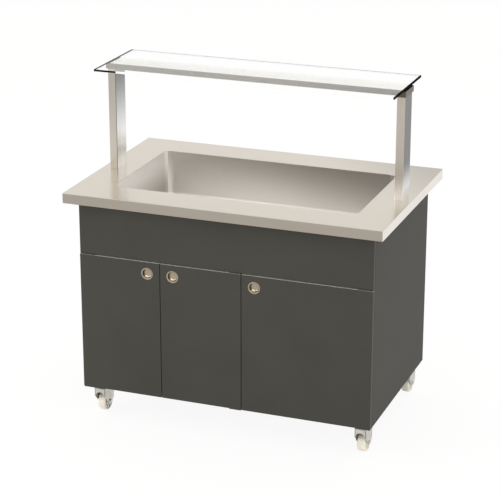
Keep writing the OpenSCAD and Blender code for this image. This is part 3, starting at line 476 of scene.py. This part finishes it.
def buildDrain():
    low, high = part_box("drain_outlet")
    centre = (low + high) / 2
    radius = (high.x - low.x) / 2
    rim = drain["rim"]
    top = high.z
    dishFloor = top - drain["dishDepth"]
    strainerFoot = dishFloor - drain["strainer"]
    flangeFoot = top - drain["flange"]
    bm = bmesh.new()
    profile = [(drain["dish"], dishFloor), (drain["dishWall"], top - drain["dishWallTop"]),
               (drain["dishRim"], top), (radius - rim, top),
               (radius - roundShare * rim, top - roundShare * rim), (radius, top - rim),
               (radius, flangeFoot), (drain["pipe"], flangeFoot), (drain["pipe"], low.z),
               (drain["bore"], low.z), (drain["bore"], strainerFoot)]
    addLathe(bm, profile, (centre.x, centre.y, 0), upward, drain["steps"])
    addRod(bm, (centre.x, centre.y, strainerFoot), (centre.x, centre.y, dishFloor), drain["dish"], 40)
    for row in (-1, 0, 1):
        for column in (-1, 0, 1):
            spot = Vector((centre.x + column * drain["pitch"], centre.y + row * drain["pitch"], dishFloor))
            addRod(bm, spot, spot + upward * drain["holeDisc"], drain["hole"], 16, 1)
    makePiece("drainStrainer", bm, [steelTop, blackPlastic], ["drain_outlet"])


buildDrain()
print("well made")


# gantry posts: box section with rounded bends and eased ends

post = {"bend": 2.4 * mm, "bendSteps": 6, "ease": 0.4 * mm, "crease": (0.3, 0.85)}


def buildPost(side, front, flank, bend):
    low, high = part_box(f"{side}_post")
    centre = (low + high) / 2
    ease = post["ease"]
    spot = Vector((centre.x, centre.y, 0))
    loops = []
    for inset, height in ((ease, low.z), (0, low.z + ease), (0, high.z - ease), (ease, high.z)):
        loop = roundedLoop(high.x - low.x, high.y - low.y, inset, post["bend"], height, post["bendSteps"])
        loops.append([point + spot for point in loop])
    bm = bmesh.new()
    addSkin(bm, loops, (True, True))
    bm.normal_update()
    for face in bm.faces:
        if abs(face.normal.x) > facing:
            face.material_index = 1
        if post["crease"][0] < face.normal.x < post["crease"][1] and face.normal.y < 0:
            face.material_index = 2
    makePiece(f"{side}PostTube", bm, [front, flank, bend], [f"{side}_post"])


buildPost("left", steelTube, steelFlankLeft, steelCreasePaintedShade)
buildPost("right", steelTubePaintedLight, steelFlankRight, steelTubePaintedLight)


# lamp hood: folded channel with end caps; cap screws sit in the ends and lid screws on top

hood = {"sheet": 1.2 * mm, "bend": 2 * mm, "leastBend": 0.6 * mm, "bendSteps": 4, "lip": 10 * mm,
        "glassGap": 0.4 * mm, "endIn": 0.6 * mm, "bayIn": 15 * mm, "lidDepth": 0.1 * mm,
        "capIn": 0.4 * mm, "capDown": 0.3 * mm, "capEase": 0.35 * mm, "screw": 3 * mm, "screwEase": 0.3 * mm,
        "capScrewIn": 18 * mm, "capScrewHead": (0.9 * mm, 0.05 * mm),
        "lidScrewIn": 12 * mm, "lidScrewOut": 48 * mm, "lidScrewHead": (0.6 * mm, 0.02 * mm)}


def hoodSection(low, high, offset):
    # the outside of the folded channel, or its inside with the sheet as offset
    bend = max(hood["bend"] - offset, hood["leastBend"])
    corners = ((high.y - offset, low.z + offset, 3), (high.y - offset, high.z - offset, 0),
               (low.y + offset, high.z - offset, 1), (low.y + offset, low.z + offset, 2))
    points = []
    for y, z, quarter in corners:
        middleY = y - bend if quarter in (3, 0) else y + bend
        middleZ = z + bend if quarter in (3, 2) else z - bend
        for step in range(hood["bendSteps"] + 1):
            angle = (quarter + step / hood["bendSteps"]) * math.pi / 2
            points.append((middleY + bend * math.cos(angle), middleZ + bend * math.sin(angle)))
    return points


def addHoodEnd(bm, low, high, sign):
    # end cap, closing strip of the bottom and four screws, at the right for a sign of 1
    sheet = hood["sheet"]
    lip = hood["lip"]
    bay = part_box("right_post")[0].x - hood["bayIn"]
    capIn, capDown = hood["capIn"], hood["capDown"]
    capLow, capHigh = sorted((sign * high.x, sign * (high.x - sheet)))
    addBox(bm, (capLow, low.y + capIn, low.z + capDown), (capHigh, high.y - capIn, high.z - capDown),
           hood["capEase"])
    stripLow, stripHigh = sorted((sign * bay, sign * (high.x - sheet)))
    addBox(bm, (stripLow, low.y + lip, low.z), (stripHigh, high.y - lip, low.z + sheet))
    start, end = (sign * (high.x - sunk) for sunk in hood["capScrewHead"])
    z = (low.z + high.z) / 2
    for y in (low.y + hood["capScrewIn"], high.y - hood["capScrewIn"]):
        addRod(bm, (start, y, z), (end, y, z), hood["screw"], 24, 1, hood["screwEase"])
    x = sign * (high.x - hood["lidScrewIn"])
    start, end = (high.z - sunk for sunk in hood["lidScrewHead"])
    for y in (-hood["lidScrewOut"], hood["lidScrewOut"]):
        addRod(bm, (x, y, start), (x, y, end), hood["screw"], 24, 1)


def buildHood():
    low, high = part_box("lamp_hood")
    high.z -= hood["glassGap"]
    sheet = hood["sheet"]
    lip = hood["lip"]
    outline = [(high.y - lip, low.z)] + hoodSection(low, high, 0)
    outline += [(low.y + lip, low.z), (low.y + lip, low.z + sheet)]
    outline += hoodSection(low, high, sheet)[::-1] + [(high.y - lip, low.z + sheet)]
    start = low.x + hood["endIn"]
    bm = bmesh.new()
    addOutline(bm, [Vector((start, y, z)) for y, z in outline], rightward * -2 * start)
    for sign in (-1, 1):
        addHoodEnd(bm, low, high, sign)
    bm.normal_update()
    lidFoot = high.z - hood["lidDepth"]
    for face in bm.faces:
        onLid = abs(face.normal.z) > flat and face.calc_center_median().z > lidFoot
        if onLid and face.material_index == 0:
            face.material_index = 2
    makePiece("lampHoodChannel", bm, [steelHoodPaintedShade, blackPlastic, steelLidPaintedLight], ["lamp_hood"])


buildHood()


# glass shelf: ground edges, painted near black as shade at both ends and along the front's left stretch

glass = {"radius": 3 * mm, "cornerSteps": 4, "chamfer": 0.8 * mm, "darkEnd": 5 * mm, "darkFront": 90 * mm,
         "paleChamfer": 0.3}


def buildGlass():
    low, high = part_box("glass_shelf")
    chamfer = glass["chamfer"]
    bm = bmesh.new()
    loops = []
    for inset, height in ((chamfer, low.z), (0, low.z + chamfer), (0, high.z - chamfer), (chamfer, high.z)):
        loops.append(roundedLoop(high.x - low.x, high.y - low.y, inset, glass["radius"], height,
                                 glass["cornerSteps"]))
    addSkin(bm, loops, (True, True))
    ends = high.x - glass["darkEnd"]
    front = low.x + glass["darkFront"]
    for x in (-ends, front, ends):
        bmesh.ops.bisect_plane(bm, geom=bm.verts[:] + bm.edges[:] + bm.faces[:], plane_co=(x, 0, 0),
                               plane_no=rightward)
    bm.normal_update()
    for face in bm.faces:
        middle = face.calc_center_median()
        onEdge = abs(face.normal.z) < flat
        if abs(middle.x) > ends:
            face.material_index = 2
        elif middle.x < front and middle.y < 0 and onEdge:
            face.material_index = 2 if face.normal.z < glass["paleChamfer"] else 1
        elif onEdge:
            face.material_index = 1
    makePiece("glassShelfPlate", bm, [glassFace, glassSide, glassEndPaintedShade], ["glass_shelf"])


buildGlass()
print("gantry made")


# heat lamps: quartz tubes with a dark coil and ceramic end pins

lamp = {"pitch": 360 * mm, "half": 135 * mm, "tip": 2 * mm, "tipEase": (1.5 * mm, 1 * mm), "shoulder": 4 * mm,
        "coil": 1.6 * mm, "coilIn": 12 * mm, "pin": 3 * mm, "pinOut": 8 * mm, "pinEase": 0.3 * mm}


def buildLamps():
    low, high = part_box("heat_lamps")
    z = (low.z + high.z) / 2
    tube = (high.z - low.z) / 2
    half = lamp["half"]
    coilEnd = half - lamp["coilIn"]
    pinEnd = half + lamp["pinOut"]
    inward, along = lamp["tipEase"]
    end = [(lamp["tip"], half), (tube - inward, half - along), (tube, half - lamp["shoulder"])]
    profile = [(radius, -distance) for radius, distance in end] + end[::-1]
    bm = bmesh.new()
    for number in (-1, 0, 1):
        x = number * lamp["pitch"]
        addLathe(bm, profile, (x, 0, z), rightward, 24)
        addRod(bm, (x - coilEnd, 0, z), (x + coilEnd, 0, z), lamp["coil"], 10, 1)
        for sign in (-1, 1):
            addRod(bm, (x + sign * coilEnd, 0, z), (x + sign * pinEnd, 0, z), lamp["pin"], 16, 2,
                   lamp["pinEase"])
    makePiece("quartzLamps", bm, [quartz, heatedSteel, ceramic], ["heat_lamps"])


buildLamps()
print("lamps made")


# recessed pulls: spun cups with a rolled rim; shade and gleam are the bowl's painted shade and painted
# highlight

pull = {"cup": 18.5 * mm, "wall": 1.2 * mm, "depth": 13 * mm, "bowlSteps": 12, "steep": 0.4,
        "rim": 1.5 * mm, "flatIn": 1.6 * mm, "roll": 0.5 * mm, "rollInner": 0.7 * mm, "rollOuter": 0.4 * mm,
        "edge": 0.3 * mm, "steps": 64, "bowlFrom": 0.68, "shade": (138, 226), "gleam": (226, 270)}


def bowlProfile(radius, depth, angles):
    return [(radius * math.sin(angle), depth * math.cos(angle) ** pull["steep"]) for angle in angles]


def buildPull(side):
    low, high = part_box(f"{side}_pull")
    centre = (low + high) / 2
    radius = (high.x - low.x) / 2
    cup = pull["cup"]
    rim = pull["rim"]
    wall = pull["wall"]
    flatIn = pull["flatIn"]
    roll = pull["roll"]
    middle = Vector((centre.x, low.y + rim, centre.z))
    bowl = quarterTurn(pull["bowlSteps"])
    profile = bowlProfile(cup, pull["depth"], bowl)
    profile += [(cup + roll, -pull["rollInner"]), (cup + flatIn, -rim), (radius - flatIn, -rim),
                (radius - roll, -rim + pull["rollOuter"]), (radius, -pull["edge"]), (radius, 0),
                (cup + wall, 0)]
    profile += bowlProfile(cup + wall, pull["depth"] + wall, bowl[-2::-1])
    bm = bmesh.new()
    addLathe(bm, profile, middle, backward, pull["steps"])
    for face in bm.faces:
        out = face.calc_center_median() - middle
        reach = math.hypot(out.x, out.z)
        turn = math.degrees(math.atan2(out.z, out.x)) % 360
        if out.y > 0 and pull["bowlFrom"] * cup < reach < cup:
            if pull["shade"][0] < turn < pull["shade"][1]:
                face.material_index = 1
            elif pull["gleam"][0] < turn < pull["gleam"][1]:
                face.material_index = 2
    makePiece(f"{side}PullCup", bm, [nickel, nickelShade, nickelGleam], [f"{side}_pull"],
              f"{side}_door")


for side in ("left", "middle", "right"):
    buildPull(side)
print("pulls made")


# caster forks: pressed legs with a boss and a heel, arched aprons before and behind

fork = {"sheet": 2.5 * mm, "ease": 0.5 * mm, "boss": 12 * mm, "heel": 14 * mm, "heelUp": 12 * mm, "steps": 32,
        "apron": 14 * mm, "apronEase": 0.4 * mm, "archIn": 1 * mm, "archSteps": 16, "topEase": 0.8 * mm,
        "collar": 9.5 * mm, "collarOut": 0.4 * mm, "collarEase": 0.3 * mm}


def addHull(bm, outlines, start, thickness):
    # a plate along X over the (y, z) outlines, its flat sides kept whole
    verts = [bm.verts.new((x, y, z)) for x in (start, start + thickness) for y, z in outlines]
    made = bmesh.ops.convex_hull(bm, input=verts)
    bmesh.ops.delete(bm, geom=list({item for item in made["geom_interior"] + made["geom_unused"]
                                    if isinstance(item, bmesh.types.BMVert)}), context="VERTS")
    verts = [vert for vert in verts if vert.is_valid]
    bmesh.ops.dissolve_limit(bm, angle_limit=math.radians(1), verts=verts, edges=edgesOf(verts))


def arcPoints(y, z, radius, steps, turn=math.tau):
    # points along an arc without the last one, which a full turn repeats
    return [(y + radius * math.cos(step / steps * turn), z + radius * math.sin(step / steps * turn))
            for step in range(steps)]


def buildFork(name):
    low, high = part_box(f"{name}_fork")
    wheelLow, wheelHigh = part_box(f"{name}_wheel")
    axleSpot = (wheelLow + wheelHigh) / 2
    middle = (low.x + high.x) / 2
    sheet = fork["sheet"]
    outer = high.x - middle
    arch = outer - sheet - fork["archIn"]
    archZ = high.z - sheet - fork["apron"] - arch
    legTop = high.z - fork["ease"]
    leg = [(low.y, legTop), (high.y, legTop), (low.y, archZ)]
    leg += arcPoints(axleSpot.y, axleSpot.z, fork["boss"], fork["steps"])
    leg += arcPoints(high.y - fork["heel"], axleSpot.z + fork["heelUp"], fork["heel"], fork["steps"])
    bm = bmesh.new()
    addHull(bm, leg, low.x, sheet)
    addHull(bm, leg, high.x - sheet, sheet)
    easeEdges(bm, bm.edges, fork["ease"], clamp=True)
    claim(bm, 0)
    apron = [(-outer, archZ), (-outer, high.z), (outer, high.z), (outer, archZ)]
    apron += arcPoints(0, archZ, arch, fork["archSteps"], math.pi) + [(-arch, archZ)]
    for y in (low.y, high.y - sheet):
        addOutline(bm, [Vector((middle + x, y, z)) for x, z in apron], backward * sheet, fork["apronEase"])
    addBox(bm, (low.x, low.y, high.z - sheet), high, fork["topEase"], 3)
    for sign in (-1, 1):
        reach = (outer - sheet, outer + fork["collarOut"])
        ends = [(middle + sign * x, axleSpot.y, axleSpot.z) for x in reach]
        addRod(bm, *ends, fork["collar"], 32, 0, fork["collarEase"])
    makePiece(f"{name}ForkPressing", bm, [dullZinc], [f"{name}_fork"], f"{name}_swivel")


# axles: bolt head, washers, spacer tube, nut and the end of the thread

axle = {"spacer": 5.9 * mm, "washer": 7.4 * mm, "washerSheet": 1.2 * mm, "washerEase": 0.3 * mm,
        "nut": 6.6 * mm, "nutEase": 0.6 * mm, "thread": 3.9 * mm, "threadEnd": 2 * mm, "threadEase": 0.4 * mm}


def buildAxle(name):
    low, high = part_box(f"{name}_axle")
    forkLow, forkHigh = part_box(f"{name}_fork")
    y = (low.y + high.y) / 2
    z = (low.z + high.z) / 2
    washerLow = forkLow.x - axle["washerSheet"]
    washerHigh = forkHigh.x + axle["washerSheet"]
    nutEnd = low.x + axle["threadEnd"]
    bm = bmesh.new()
    parts = (("spacer", forkLow.x, forkHigh.x, 32), ("washer", forkHigh.x, washerHigh, 32),
             ("washer", washerLow, forkLow.x, 32), ("nut", washerHigh, high.x, hexagon),
             ("nut", nutEnd, washerLow, hexagon), ("thread", low.x, nutEnd, 24))
    for part, start, end, sides in parts:
        addRod(bm, (start, y, z), (end, y, z), axle[part], sides, 0, axle.get(part + "Ease", 0))
    makePiece(f"{name}AxleBolt", bm, [zinc], [f"{name}_axle"], f"{name}_swivel")


# wheels: one moulding with a hub, a thin web, ribs and a rounded tread; tread points lie in from the wheel's
# radius and from its side

wheel = {"bore": 6.05 * mm, "hub": 11 * mm, "hubOut": 1 * mm, "hubEase": 0.6 * mm,
         "webIn": 6 * mm, "webEase": 1 * mm, "rimFoot": 10 * mm, "rimTop": 7.4 * mm, "rimEase": 0.8 * mm,
         "tread": ((4.4, 0), (2.2, 1.2), (0.9, 3.4), (0.2, 6.5), (0, 10)), "steps": 72,
         "ribs": 8, "ribIn": 2.5 * mm, "ribHalf": 1.2 * mm, "ribInHub": 1 * mm, "ribEnd": 8.5 * mm}


def wheelProfile(radius, half):
    # one side of the wheel from the bore to the tread, and its mirror image
    hub = wheel["hub"]
    hubSide = half + wheel["hubOut"]
    hubEase = wheel["hubEase"]
    web = half - wheel["webIn"]
    webEase = wheel["webEase"]
    rimFoot = radius - wheel["rimFoot"]
    rimTop = radius - wheel["rimTop"]
    rimEase = wheel["rimEase"]
    profile = [(wheel["bore"], -hubSide), (hub - hubEase, -hubSide), (hub, -hubSide + hubEase),
               (hub + webEase, -web - webEase), (hub + 2 * webEase, -web), (rimFoot, -web),
               (rimFoot + webEase, -web - webEase), (rimTop - rimEase, -half + rimEase), (rimTop, -half)]
    profile += [(radius - inward * mm, -half + along * mm) for inward, along in wheel["tread"]]
    profile += [(reach, -along) for reach, along in profile[::-1]]
    return profile + profile[:1]


def buildWheel(name):
    low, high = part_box(f"{name}_wheel")
    centre = (low + high) / 2
    radius = (high.z - low.z) / 2
    half = (high.x - low.x) / 2 - wheel["hubOut"]
    bm = bmesh.new()
    addLathe(bm, wheelProfile(radius, half), centre, rightward, wheel["steps"])
    rib = half - wheel["ribIn"]
    for number in range(wheel["ribs"]):
        angle = number / wheel["ribs"] * math.tau
        out = Vector((0, math.cos(angle), math.sin(angle)))
        across = Vector((0, -math.sin(angle), math.cos(angle))) * wheel["ribHalf"]
        side = centre - rightward * rib
        addBar(bm, side + out * (wheel["hub"] - wheel["ribInHub"]), side + out * (radius - wheel["ribEnd"]),
               across, rightward * 2 * rib)
    makePiece(f"{name}WheelMoulding", bm, [wheelPlastic], [f"{name}_wheel"],
              f"{name}_roller")


# top plates with ball races and king bolts; race points lie in from the race's radius and down from the
# plate, and bolt points are radii and heights over the bolt's end

plates = {"side": 60 * mm, "sheet": 3 * mm, "ease": 0.5 * mm, "cornerRadius": 5 * mm, "cornerSteps": 5,
          "race": 22 * mm, "raceOutline": ((3, 0), (1.5, 3), (2, 7), (0, 9.5), (0, 15), (1.5, 16.4)),
          "boltOutline": ((6, 8), (6, 4), (9, 4), (8.4, 1.2), (5, 0))}
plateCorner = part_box("caster_plates")[1]
casterSpot = Vector((plateCorner.x - plates["side"] / 2, plateCorner.y - plates["side"] / 2, 0))
stations = {"front_left": (-1, -1), "front_right": (1, -1), "back_left": (-1, 1), "back_right": (1, 1)}


def buildCasterPlates():
    low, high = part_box("caster_plates")
    foot = high.z - plates["sheet"]
    ease = plates["ease"]
    race = [(plates["race"] - inward * mm, foot - down * mm) for inward, down in plates["raceOutline"]]
    race = [(0, foot)] + race + [(0, race[-1][1])]
    bolt = [(reach * mm, low.z + rise * mm) for reach, rise in plates["boltOutline"]]
    bolt = [(0, bolt[0][1])] + bolt + [(0, low.z)]
    bm = bmesh.new()
    for sx, sy in stations.values():
        spot = Vector((sx * casterSpot.x, sy * casterSpot.y, 0))
        loops = []
        for inset, height in ((ease, foot), (0, foot + ease), (0, high.z)):
            loop = roundedLoop(plates["side"], plates["side"], inset, plates["cornerRadius"], height,
                               plates["cornerSteps"])
            loops.append([point + spot for point in loop])
        addSkin(bm, loops, (True, True))
        addLathe(bm, race, spot, upward, 48)
        addLathe(bm, bolt, spot, upward, 32)
    makePiece("casterTopPlates", bm, [zinc], ["caster_plates"])


# hexagon screws at the plates' corners

screws = {"apart": 42 * mm, "head": 5 * mm, "headHeight": 3 * mm, "headEase": 0.5 * mm, "shank": 2.9 * mm}


def buildCasterScrews():
    low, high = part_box("caster_screws")
    neck = low.z + screws["headHeight"]
    bm = bmesh.new()
    for sx, sy in stations.values():
        for ox in (-1, 1):
            for oy in (-1, 1):
                x = sx * casterSpot.x + ox * screws["apart"] / 2
                y = sy * casterSpot.y + oy * screws["apart"] / 2
                addRod(bm, (x, y, low.z), (x, y, neck), screws["head"], hexagon, 0, screws["headEase"])
                addRod(bm, (x, y, neck), (x, y, high.z), screws["shank"], 16)
    makePiece("casterScrewSet", bm, [zinc], ["caster_screws"])


for station in stations:
    buildFork(station)
    buildAxle(station)
    buildWheel(station)
buildCasterPlates()
buildCasterScrews()
print("casters made")


# controls at the back: corner screws, their slots thin black strips of painted shade, and a dial of ticks on
# the plate

controls = {"screwInset": 5 * mm, "screw": 2.6 * mm, "screwSunk": 0.5 * mm, "screwOut": 1.4 * mm,
            "screwEase": 0.5 * mm, "slotLength": 4 * mm, "slotWidth": 0.6 * mm, "slotProud": 0.01 * mm,
            "ticks": 11, "tickFrom": 22 * mm, "tickTo": 26 * mm, "tickProud": 0.05 * mm,
            "thinHalf": 0.35 * mm, "thickHalf": 0.6 * mm, "thickEvery": 5, "dialStart": 225, "dialTurn": 270}


def buildControlMarks():
    low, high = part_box("control_box")
    knobLow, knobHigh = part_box("thermostat_knob")
    face = high.y
    inset = controls["screwInset"]
    slotHalf = Vector((controls["slotLength"] / 2, controls["slotProud"], controls["slotWidth"] / 2))
    bm = bmesh.new()
    for x in (low.x + inset, high.x - inset):
        for z in (low.z + inset, high.z - inset):
            head = Vector((x, face + controls["screwOut"], z))
            addRod(bm, (x, face - controls["screwSunk"], z), head, controls["screw"], 24, 0,
                   controls["screwEase"])
            # the slot: a thin black strip, painted shade in place of a groove
            addBox(bm, head - slotHalf, head + slotHalf, slot=1)
    dial = Vector(((knobLow.x + knobHigh.x) / 2, face, (low.z + high.z) / 2))
    for number in range(controls["ticks"]):
        share = number / (controls["ticks"] - 1)
        angle = math.radians(controls["dialStart"] - controls["dialTurn"] * share)
        out = Vector((math.cos(angle), 0, math.sin(angle)))
        half = controls["thinHalf" if number % controls["thickEvery"] else "thickHalf"]
        addBar(bm, dial + out * controls["tickFrom"], dial + out * controls["tickTo"],
               Vector((-math.sin(angle), 0, math.cos(angle))) * half, backward * controls["tickProud"], 1)
    makePiece("controlPlateMarks", bm, [zinc, blackPlastic], ())


# knob: ridged grip with a white line; outline points lie in from the knob's radius and out from its base

knob = {"gap": 0.3 * mm, "outline": ((0, 0), (0, 2.6), (1, 4), (4.4, 4.6), (5, 15), (6.2, 16.8)),
        "length": 17 * mm, "steps": 64, "ridges": 24, "ridge": 0.9 * mm, "ridgeIn": 4.8 * mm,
        "ridgeFrom": 5 * mm, "ridgeTo": 15 * mm, "ridgeEase": 0.2 * mm, "spindle": 3 * mm,
        "lineHalf": 0.7 * mm, "lineFrom": 4 * mm, "lineTo": 12 * mm, "lineFaces": (16.9 * mm, 17.2 * mm)}


def buildKnob():
    low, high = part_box("thermostat_knob")
    x = (low.x + high.x) / 2
    z = (low.z + high.z) / 2
    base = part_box("control_box")[1].y + knob["gap"]
    radius = (high.x - low.x) / 2
    profile = [(radius - inward * mm, base + out * mm) for inward, out in knob["outline"]]
    profile = [(0, base)] + profile + [(0, base + knob["length"])]
    bm = bmesh.new()
    addLathe(bm, profile, (x, 0, z), backward, knob["steps"])
    reach = radius - knob["ridgeIn"]
    for number in range(knob["ridges"]):
        angle = number / knob["ridges"] * math.tau
        spot = Vector((x + reach * math.cos(angle), base, z + reach * math.sin(angle)))
        addRod(bm, spot + backward * knob["ridgeFrom"], spot + backward * knob["ridgeTo"], knob["ridge"],
               8, 0, knob["ridgeEase"])
    addRod(bm, (x, low.y, z), (x, base, z), knob["spindle"], 24)
    inner, outer = knob["lineFaces"]
    addBox(bm, (x - knob["lineHalf"], base + inner, z + knob["lineFrom"]),
           (x + knob["lineHalf"], base + outer, z + knob["lineTo"]), slot=1)
    makePiece("thermostatKnobGrip", bm, [blackPlastic, whiteMark], ["thermostat_knob"],
              "thermostat_knob")


buildControlMarks()
buildKnob()
print("controls made")


# CAD nodes that keep their shape: boards with the width of their eased edges in mm and the axis that their
# faces look along, other nodes with their finish and that width

dressing = {"segments": 2, "fromAngle": 35, "edgeShare": 0.5}
boards = {
    "left_side_panel": (0.8, rightward), "right_side_panel": (0.8, rightward), "partition": (0.6, rightward),
    "back_panel": (0.8, backward), "front_fascia": (0.8, backward),
    "left_door": (1, backward), "middle_door": (1, backward), "right_door": (1, backward),
    "bottom_panel": (0.6, upward), "cupboard_top": (0.6, upward),
    "left_shelf": (0.6, upward), "right_shelf": (0.6, upward),
}
fittings = {
    "worktop_core": (core, 0), "well_jacket": (wool, 0), "heating_element": (heatedSteel, 0),
    "drain_valve": (brass, 0.4), "drain_lever": (redDip, 0.6), "door_pivots": (darkZinc, 0),
    "door_catches": (whitePlastic, 0.5), "shelf_pins": (zinc, 0),
    "left_strike": (zinc, 0), "middle_strike": (zinc, 0), "right_strike": (zinc, 0),
    "post_clamp_plates": (zinc, 0), "gantry_bolts": (zinc, 0), "lamp_guard": (zinc, 0),
    "lamp_holders": (ceramic, 0.4), "lamp_reflector": (aluminium, 0),
    "control_box": (steelTop, 0.3), "thermostat": (greyPlastic, 0.4), "switch_housings": (blackPlastic, 0.3),
    "power_rocker": (redPlastic, 0.4), "lamp_rocker": (amberPlastic, 0.4), "cable_gland": (greyPlastic, 0.4),
}


def dressNode(node, materials, ease, faceAxis=None):
    # up to three materials: faces, edges, upper edges
    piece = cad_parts[node]
    piece.data.materials.clear()
    for material in materials:
        piece.data.materials.append(material)
    for polygon in piece.data.polygons:
        onEdge = faceAxis is not None and abs(polygon.normal.dot(faceAxis)) < dressing["edgeShare"]
        onTop = onEdge and len(materials) == 3 and polygon.normal.z > dressing["edgeShare"]
        polygon.material_index = 2 if onTop else 1 if onEdge else 0
    if ease:
        weld = piece.modifiers.new("weld", "WELD")
        weld.merge_threshold = weldGap
        soft = piece.modifiers.new("softEdges", "BEVEL")
        soft.width = ease * mm
        soft.segments = dressing["segments"]
        soft.limit_method = "ANGLE"
        soft.angle_limit = math.radians(dressing["fromAngle"])
        soft.harden_normals = True


for node, (ease, faceAxis) in boards.items():
    # the doors' upper edges take the painted highlight
    finishes = [laminate, edgeBand, paintedHighlightBand] if node.endswith("_door") else [laminate, edgeBand]
    dressNode(node, finishes, ease, faceAxis)
for node, (finish, ease) in fittings.items():
    dressNode(node, [finish], ease)
print("CAD nodes dressed")


# floor, light and camera: places and sizes in metres, power in watts, angles in degrees

studio = {"floorSize": 40, "floorWhite": 0.92, "sky": "F6F4F1"}
# the overhead softbox would glare in the steel, so it is hidden from mirrored rays
softboxes = {
    "keySoftbox": {"place": (4.5, -2.5, 4.5), "target": (0, 0, 0.8), "size": 3, "power": 28},
    "fillSoftbox": {"place": (-4.5, -3.5, 3), "target": (0, 0, 0.6), "size": 3, "power": 70},
    "overheadSoftbox": {"place": (0, 0.4, 5.5), "target": (0, 0.4, 0), "size": 5, "power": 78,
                        "hidden": True},
}
camera = {"place": (2.3332, -6.2397, 2.9952), "tilt": 70.491, "turn": 20.711, "lens": 132.77, "sensor": 36,
          "far": 100}


def whiteShare(tree, amount):
    # what is seen straight, mirrored or through glass is the white of the room
    rays = addNode(tree, "ShaderNodeLightPath")
    direct = addNode(tree, "ShaderNodeMath", {
        0: rays.outputs["Is Camera Ray"], 1: rays.outputs["Is Glossy Ray"],
    }, operation="MAXIMUM")
    seen = addNode(tree, "ShaderNodeMath", {
        0: direct.outputs[0], 1: rays.outputs["Is Transmission Ray"],
    }, operation="MAXIMUM")
    share = addNode(tree, "ShaderNodeMath", {0: seen.outputs[0], 1: amount}, operation="MULTIPLY")
    return share.outputs[0]


def buildFloor():
    # painted floor: mostly white to the eye, and the rest of it keeps the soft shadow
    material = makeFinish("studioFloorPaint", ("FFFEFC", "FDFCFA"), (20, 20, 20), (0.85, 0.95),
                          values={"Specular IOR Level": 0.0})
    tree = material.node_tree
    white = addNode(tree, "ShaderNodeEmission", {"Color": (1, 1, 1, 1), "Strength": 1.0})
    mix = addNode(tree, "ShaderNodeMixShader", {
        0: whiteShare(tree, studio["floorWhite"]), 1: tree.nodes["Principled BSDF"].outputs[0],
        2: white.outputs[0],
    })
    tree.links.new(mix.outputs[0], tree.nodes["Material Output"].inputs["Surface"])
    bm = bmesh.new()
    bmesh.ops.create_grid(bm, x_segments=1, y_segments=1, size=studio["floorSize"] / 2)
    addMesh("studioFloor", bm, [material])


def buildWorld():
    world = bpy.data.worlds.new("studioWorld")
    bpy.context.scene.world = world
    world.use_nodes = True
    tree = world.node_tree
    sky = tree.nodes["Background"]
    sky.inputs["Color"].default_value = linear(studio["sky"])
    white = addNode(tree, "ShaderNodeBackground", {"Color": (1, 1, 1, 1), "Strength": 1.0})
    mix = addNode(tree, "ShaderNodeMixShader", {
        0: whiteShare(tree, 1.0), 1: sky.outputs[0], 2: white.outputs[0],
    })
    tree.links.new(mix.outputs[0], tree.nodes["World Output"].inputs["Surface"])


def addSoftbox(name, box):
    light = bpy.data.lights.new(name, "AREA")
    light.shape = "RECTANGLE"
    light.size = box["size"]
    light.size_y = box["size"]
    light.energy = box["power"]
    holder = addObject(name, light)
    holder.location = box["place"]
    gaze = Vector(box["target"]) - Vector(box["place"])
    holder.rotation_euler = gaze.to_track_quat("-Z", "Y").to_euler()
    holder.visible_glossy = not box.get("hidden", False)


def placeCamera():
    view = bpy.data.cameras.new("photoCamera")
    view.sensor_width = camera["sensor"]
    view.lens = camera["lens"]
    view.clip_end = camera["far"]
    holder = addObject("photoCamera", view)
    holder.location = camera["place"]
    holder.rotation_euler = (math.radians(camera["tilt"]), 0, math.radians(camera["turn"]))
    bpy.context.scene.camera = holder


buildFloor()
buildWorld()
for name, box in softboxes.items():
    addSoftbox(name, box)
placeCamera()
bpy.context.scene.view_settings.view_transform = "Standard"
print("studio made")
